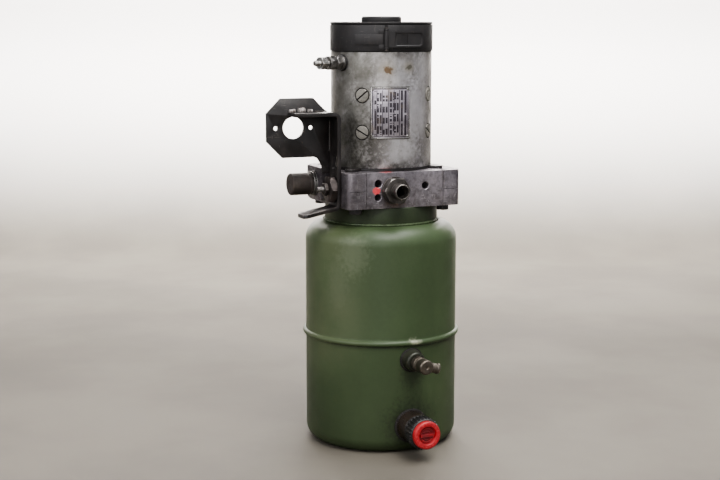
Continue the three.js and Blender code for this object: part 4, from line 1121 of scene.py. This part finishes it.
def make_latch():
    holder, pin, lever = Span("latch_bracket"), Span("latch_pin"), Span("latch_lever")
    joint = next(j for j in frame["record"]["behaviour"]["joints"] if j["name"] == "latch_swing")
    px, py = joint["pos_m"][:2]
    az, at, skin = azimuth_of(px, py), Matrix.Translation((px, py, 0)), BAND_R + GAP
    strap_low, strap_high, strap_r, knuckle_r = 0.4455, 0.4565, skin + 0.0012, 0.0026

    def knuckle(bore, low, high):
        return turned(rect(bore, knuckle_r, low, high), at, 0.0003, 32)

    low, high = holder.low.z, holder.high.z
    parts = [
        arch(skin, strap_r, -53, az - 3, strap_low, strap_high, 0.0003),
        arch(skin, strap_r, az - 8, az, low, strap_low, 0.0002, 6),
        arch(skin, strap_r, az - 8, az, strap_high, high, 0.0002, 6),
        knuckle(0.00145, low, lever.low.z - GAP),
        knuckle(0.00145, lever.high.z + GAP, high),
    ]
    stand_for(parts, "latch_bracket", look=ENAMEL)

    low, high, r, head_r = pin.low.z, pin.high.z, 0.0013, 0.0021
    shape = [(0, low), (head_r, low), (head_r, low + 0.0013), (r, low + 0.0014), (r, high - 0.0014)]
    shape += [(head_r, high - 0.0013), (head_r, high), (0, high)]
    stand_for(turned(shape, at, 0.0003, 32), "latch_pin", look=DULL_STEEL)

    inner, outer = skin + 0.0008, skin + 0.0028
    blade = latch_blade(lever, inner, outer, az + 1.6, 27.7)
    pocket = arch(outer - 0.0012, outer + 0.001, -2.5, 5.5, 0.446, 0.456, 0, 8)
    parts = [cut(blade, pocket), knuckle(0.00155, lever.low.z, lever.high.z)]
    stand_for(parts, "latch_lever", look=ENAMEL)


def make_terminal():
    stud, outer = Span("terminal_stud").mid, Span("terminal_outer_nut").mid
    at = outwards(azimuth_of(outer.x, outer.y), stud.z)
    bore, sleeve_r, flange_r, skin = 0.0034, 0.0046, 0.009, YOKE_R + 0.0005
    low = YOKE_R + 0.002
    base = [(bore, 0.046), (sleeve_r, 0.046), (sleeve_r, skin), (flange_r, skin)]
    base += [(flange_r, low), (bore, low)]
    stand_for(turned(base, at, 0.0003, 56), "terminal_insulator", name="terminal_bush")

    def washer(r, start, end):
        return turned(rect(bore, r, start, end), at, 0.0003, 56)

    low += GAP
    first, second, third, end = (low + up for up in (0.0018, 0.009, 0.017, 0.019))
    stack = [washer(0.0084, low, first), hexagon(0.014, first, second, bore, at, 0.0012)]
    stack += [hexagon(0.013, second, third, bore, at @ spin(22), 0.0012), washer(0.0074, third, end)]
    stand_for(stack, "terminal_inner_nut")
    stand_for(hexagon(0.013, 0.081, 0.0885, bore, at, 0.0011), "terminal_outer_nut", look=BRIGHT_ZINC)
    stand_for(threaded(0.0031, 0.045, 0.0955, at, 0.001, 0.0005), "terminal_stud", look=BRIGHT_ZINC)


def make_pole_shoes():
    """Each shoe with its two slotted screws, which show through the yoke, and the packed dirt and painted shade
    round them.
    """
    r, face = YOKE_R, YOKE_R + 0.0003
    head = [(0, r - 0.007), (0.0074, r - 0.007), (0.0074, face - 0.0005), (0.0069, face), (0, face)]
    for n, az in enumerate(POLE_AZ, 1):
        shoe = arch(0.038, 0.0417, az - 26, az + 26, 0.330, 0.412, 0.0006, 16)
        core = arch(0.0412, 0.0497, az - 14, az + 14, 0.336, 0.406, 0.0006, 10)
        parts = [wear(part, LOOKS["dark_steel"]) for part in (shoe, core)]
        for z, slot_angle in zip(POLE_SCREWS_Z, (-28, 40)):
            at = outwards(az, z)
            aslant = at @ spin(slot_angle)
            screw = cut(turned(head, at, 0.0002, 48), bar(0.009, 0.0009, face - 0.0022, face + 0.002, aslant))
            packed = bar(0.0071, 0.00085, face - 0.0023, face - 0.0009, aslant)
            # A dark ring in the gap round the head: packed dirt and painted shade.
            ring = turned(rect(0.0075, 0.0083, r - 0.005, r - 0.0011), at, 0, 48)
            parts += [wear(screw, SCREW_STEEL), wear(packed, SOOT), wear(ring, SOOT)]
        stand_for(parts, f"pole_shoe_{n}")


# ---- Nameplate ----------------------------------------------------------------------------------------
# Printed columns: from and to across the plate, from and to within a quarter of its height, then the rows and
# columns of dashes and the share of them that is printed.
PRINTED = (
    (0.15, 0.27, 0.0, 0.17, 44, 14, 0.93),
    (0.30, 0.42, 0.0, 0.12, 40, 14, 0.9),
    (0.45, 0.57, 0.0, 0.19, 36, 13, 0.82),
    (0.58, 0.70, 0.04, 0.19, 46, 14, 0.92),
)


def nameplate_look(low, high):
    """Foil with printed dark blocks, dashes and a frame, none of it text."""
    k = Look("nameplate foil")
    from_az, to_az = (radians(az) for az in PLATE_AZ)
    u = k.node("ShaderNodeMapRange", {"Value": k.azimuth(), 1: from_az, 2: to_az}).outputs[0]
    v = k.node("ShaderNodeMapRange", {"Value": k.z, 1: low, 2: high}).outputs[0]

    def within(value, start, end):
        return k.both(k.maths("GREATER_THAN", value, start), k.maths("LESS_THAN", value, end))

    def block(u0, u1, v0, v1):
        return k.both(within(u, u0, u1), within(v, v0, v1))

    def dashes(rows, columns, fill):
        """Columns of short marks of uneven length, thinner than their pitch."""
        across, along = k.maths("MULTIPLY", u, columns), k.maths("MULTIPLY", v, rows)
        corner = {0: k.maths("FLOOR", across), 1: k.maths("FLOOR", along)}
        cell = k.node("ShaderNodeCombineXYZ", corner).outputs[0]
        picked = k.node("ShaderNodeTexWhiteNoise", {"Vector": cell}).outputs[0]
        return k.both(within(k.maths("FRACT", across), 0.14, 0.88), k.maths("LESS_THAN", picked, fill))

    dark = k.both(block(0.06, 0.135, 0.07, 0.93), dashes(12, 13, 0.62))
    for quarter in range(4):
        base = 0.075 + 0.217 * quarter
        for u0, u1, v0, v1, *marks in PRINTED:
            dark = k.most(dark, k.both(block(u0, u1, base + v0, base + v1), dashes(*marks)))
    for rule in (0.142, 0.283, 0.434, 0.572, 0.712):
        dark = k.most(dark, block(rule, rule + 0.018, 0.05, 0.95))
    dark = k.most(dark, k.both(block(0.76, 0.92, 0.06, 0.94), dashes(24, 6, 0.88)))
    border = k.maths("SUBTRACT", block(0.03, 0.97, 0.022, 0.978), block(0.052, 0.948, 0.038, 0.962))
    dark = k.both(k.most(dark, border), k.grain(0.28, 0.42, 120, 5, 0.7))
    k.base((142, 137, 144), (190, 184, 192), k.grain(0.35, 0.65, 60, 5))
    k.paint((36, 30, 38), dark, 0.97)
    stain = k.grain(0.55, 0.7, 38, 6, 0.7)
    k.paint((110, 98, 84), stain, 0.6)
    rough = k.grain(0.3, 0.7, 90, 4, to=(0.28, 0.48))
    metal = k.levels(k.most(dark, stain), 0.0, 1.0, 0.75, 0.1)
    return k.finish(rough, metal, k.bump(k.noise(500, 3), 0.12, 0.0002))


def make_nameplate():
    low, high = Span("nameplate").low.z, Span("nameplate").high.z
    from_az, to_az = PLATE_AZ
    back, front, rim, rim_az, top = YOKE_R + 0.0003, YOKE_R + 0.0012, 0.0009, 0.9, YOKE_R + 0.0013
    LOOKS["label_metal"] = look = nameplate_look(low, high)
    parts = [wear(arch(back, YOKE_R + 0.0008, from_az, to_az, low, high, 0.0001, 40), look)]
    rims = [(from_az, to_az, z, z + rim, 40) for z in (low, high - rim)]
    rims += [(az, az + rim_az, low, high, 2) for az in (from_az, to_az - rim_az)]
    for az0, az1, z0, z1, steps in rims:
        parts.append(wear(arch(back, front, az0, az1, z0, z1, 0.0002, steps), BRIGHT_ZINC))
    rivet = [(0, YOKE_R), (0.0013, YOKE_R), (0.0013, top - 0.0004), (0.0008, top), (0, top + 0.0001)]
    for az in (from_az + 2.2, to_az - 2.2):
        for z in (low + 0.0022, high - 0.0022):
            parts.append(wear(turned(rivet, outwards(az, z), 0.0002, 20), LOOKS["zinc_steel"]))
    stand_for(parts, "nameplate")


# ---- The rest -----------------------------------------------------------------------------------------
def dress_hidden_nodes():
    for name, node in frame["nodes"].items():
        for slot in node.material_slots:
            slot.material = LOOKS[SLOT_OF[name]]


def make_stage():
    k = Look("studio floor")
    k.base((84, 79, 71), (96, 91, 82), k.grain(0.35, 0.65, 3, 4))
    k.paint((250, 246, 243), k.levels(k.z, 0.0, 0.42))
    turn = Matrix.Rotation(radians(-22.5), 4, "Z")
    # Painted shade: the floor and backdrop darkened far out to each side, so they send less light back onto the
    # unit.
    across = k.maths("SUBTRACT", k.maths("MULTIPLY", k.x, 0.924), k.maths("MULTIPLY", k.y, 0.383))
    k.paint((84, 80, 76), k.levels(k.maths("ABSOLUTE", across), 1.0, 1.5), 0.9)
    k.finish(0.75)
    half_width, bend_y, bend_r = 4, 1.15, 0.5
    section = [(-3.0, 0.0), *arc(bend_y, bend_r, bend_r, -90, 0, 15), (bend_y + bend_r, 3.2)]
    vertices, faces = [], []
    for y, z in section:
        vertices += [turn @ Vector((x, y, z)) for x in (-half_width, half_width)]
    for n in range(len(section) - 1):
        faces.append((2 * n, 2 * n + 1, 2 * n + 3, 2 * n + 2))
    floor = wear(add(vertices, faces, 60), k.mat)
    floor.name = "studio_floor"
    world = bpy.data.worlds.new("studio")
    world.use_nodes = True
    background = world.node_tree.nodes["Background"].inputs
    background[0].default_value = (0.95, 0.97, 1.0, 1)
    background[1].default_value = 0.56
    scene.world = world
    area_light("key", (-0.2, -1.6, 2.5), (0, 0, 0.3), (1.3, 1.0), 66, (1, 0.98, 0.96))
    area_light("front", (-1.0, -2.4, 0.9), (0, 0, 0.35), (1.2, 1.2), 12, (1, 0.99, 0.97))
    area_light("fill", (-2.1, -0.8, 1.3), (0, 0, 0.3), (1.2, 1.4), 24, (0.99, 0.98, 1))
    area_light("top", (0.4, -0.3, 1.9), (0, 0, 0.2), (0.9, 0.9), 28)
    area_light("backdrop", (0.45, 0.9, 2.2), (0.75, 1.75, 0.9), (2.4, 0.6), 130, (1, 0.98, 0.955), 100)
    scene.view_settings.view_transform = "AgX"
    scene.view_settings.look = "AgX - Medium High Contrast"


make_tank()
make_return_line()
make_filler()
make_block()
make_port()
make_side_valve()
make_relief_valve()
make_bracket()
make_motor()
make_latch()
make_terminal()
make_pole_shoes()
make_nameplate()
dress_hidden_nodes()
make_stage()
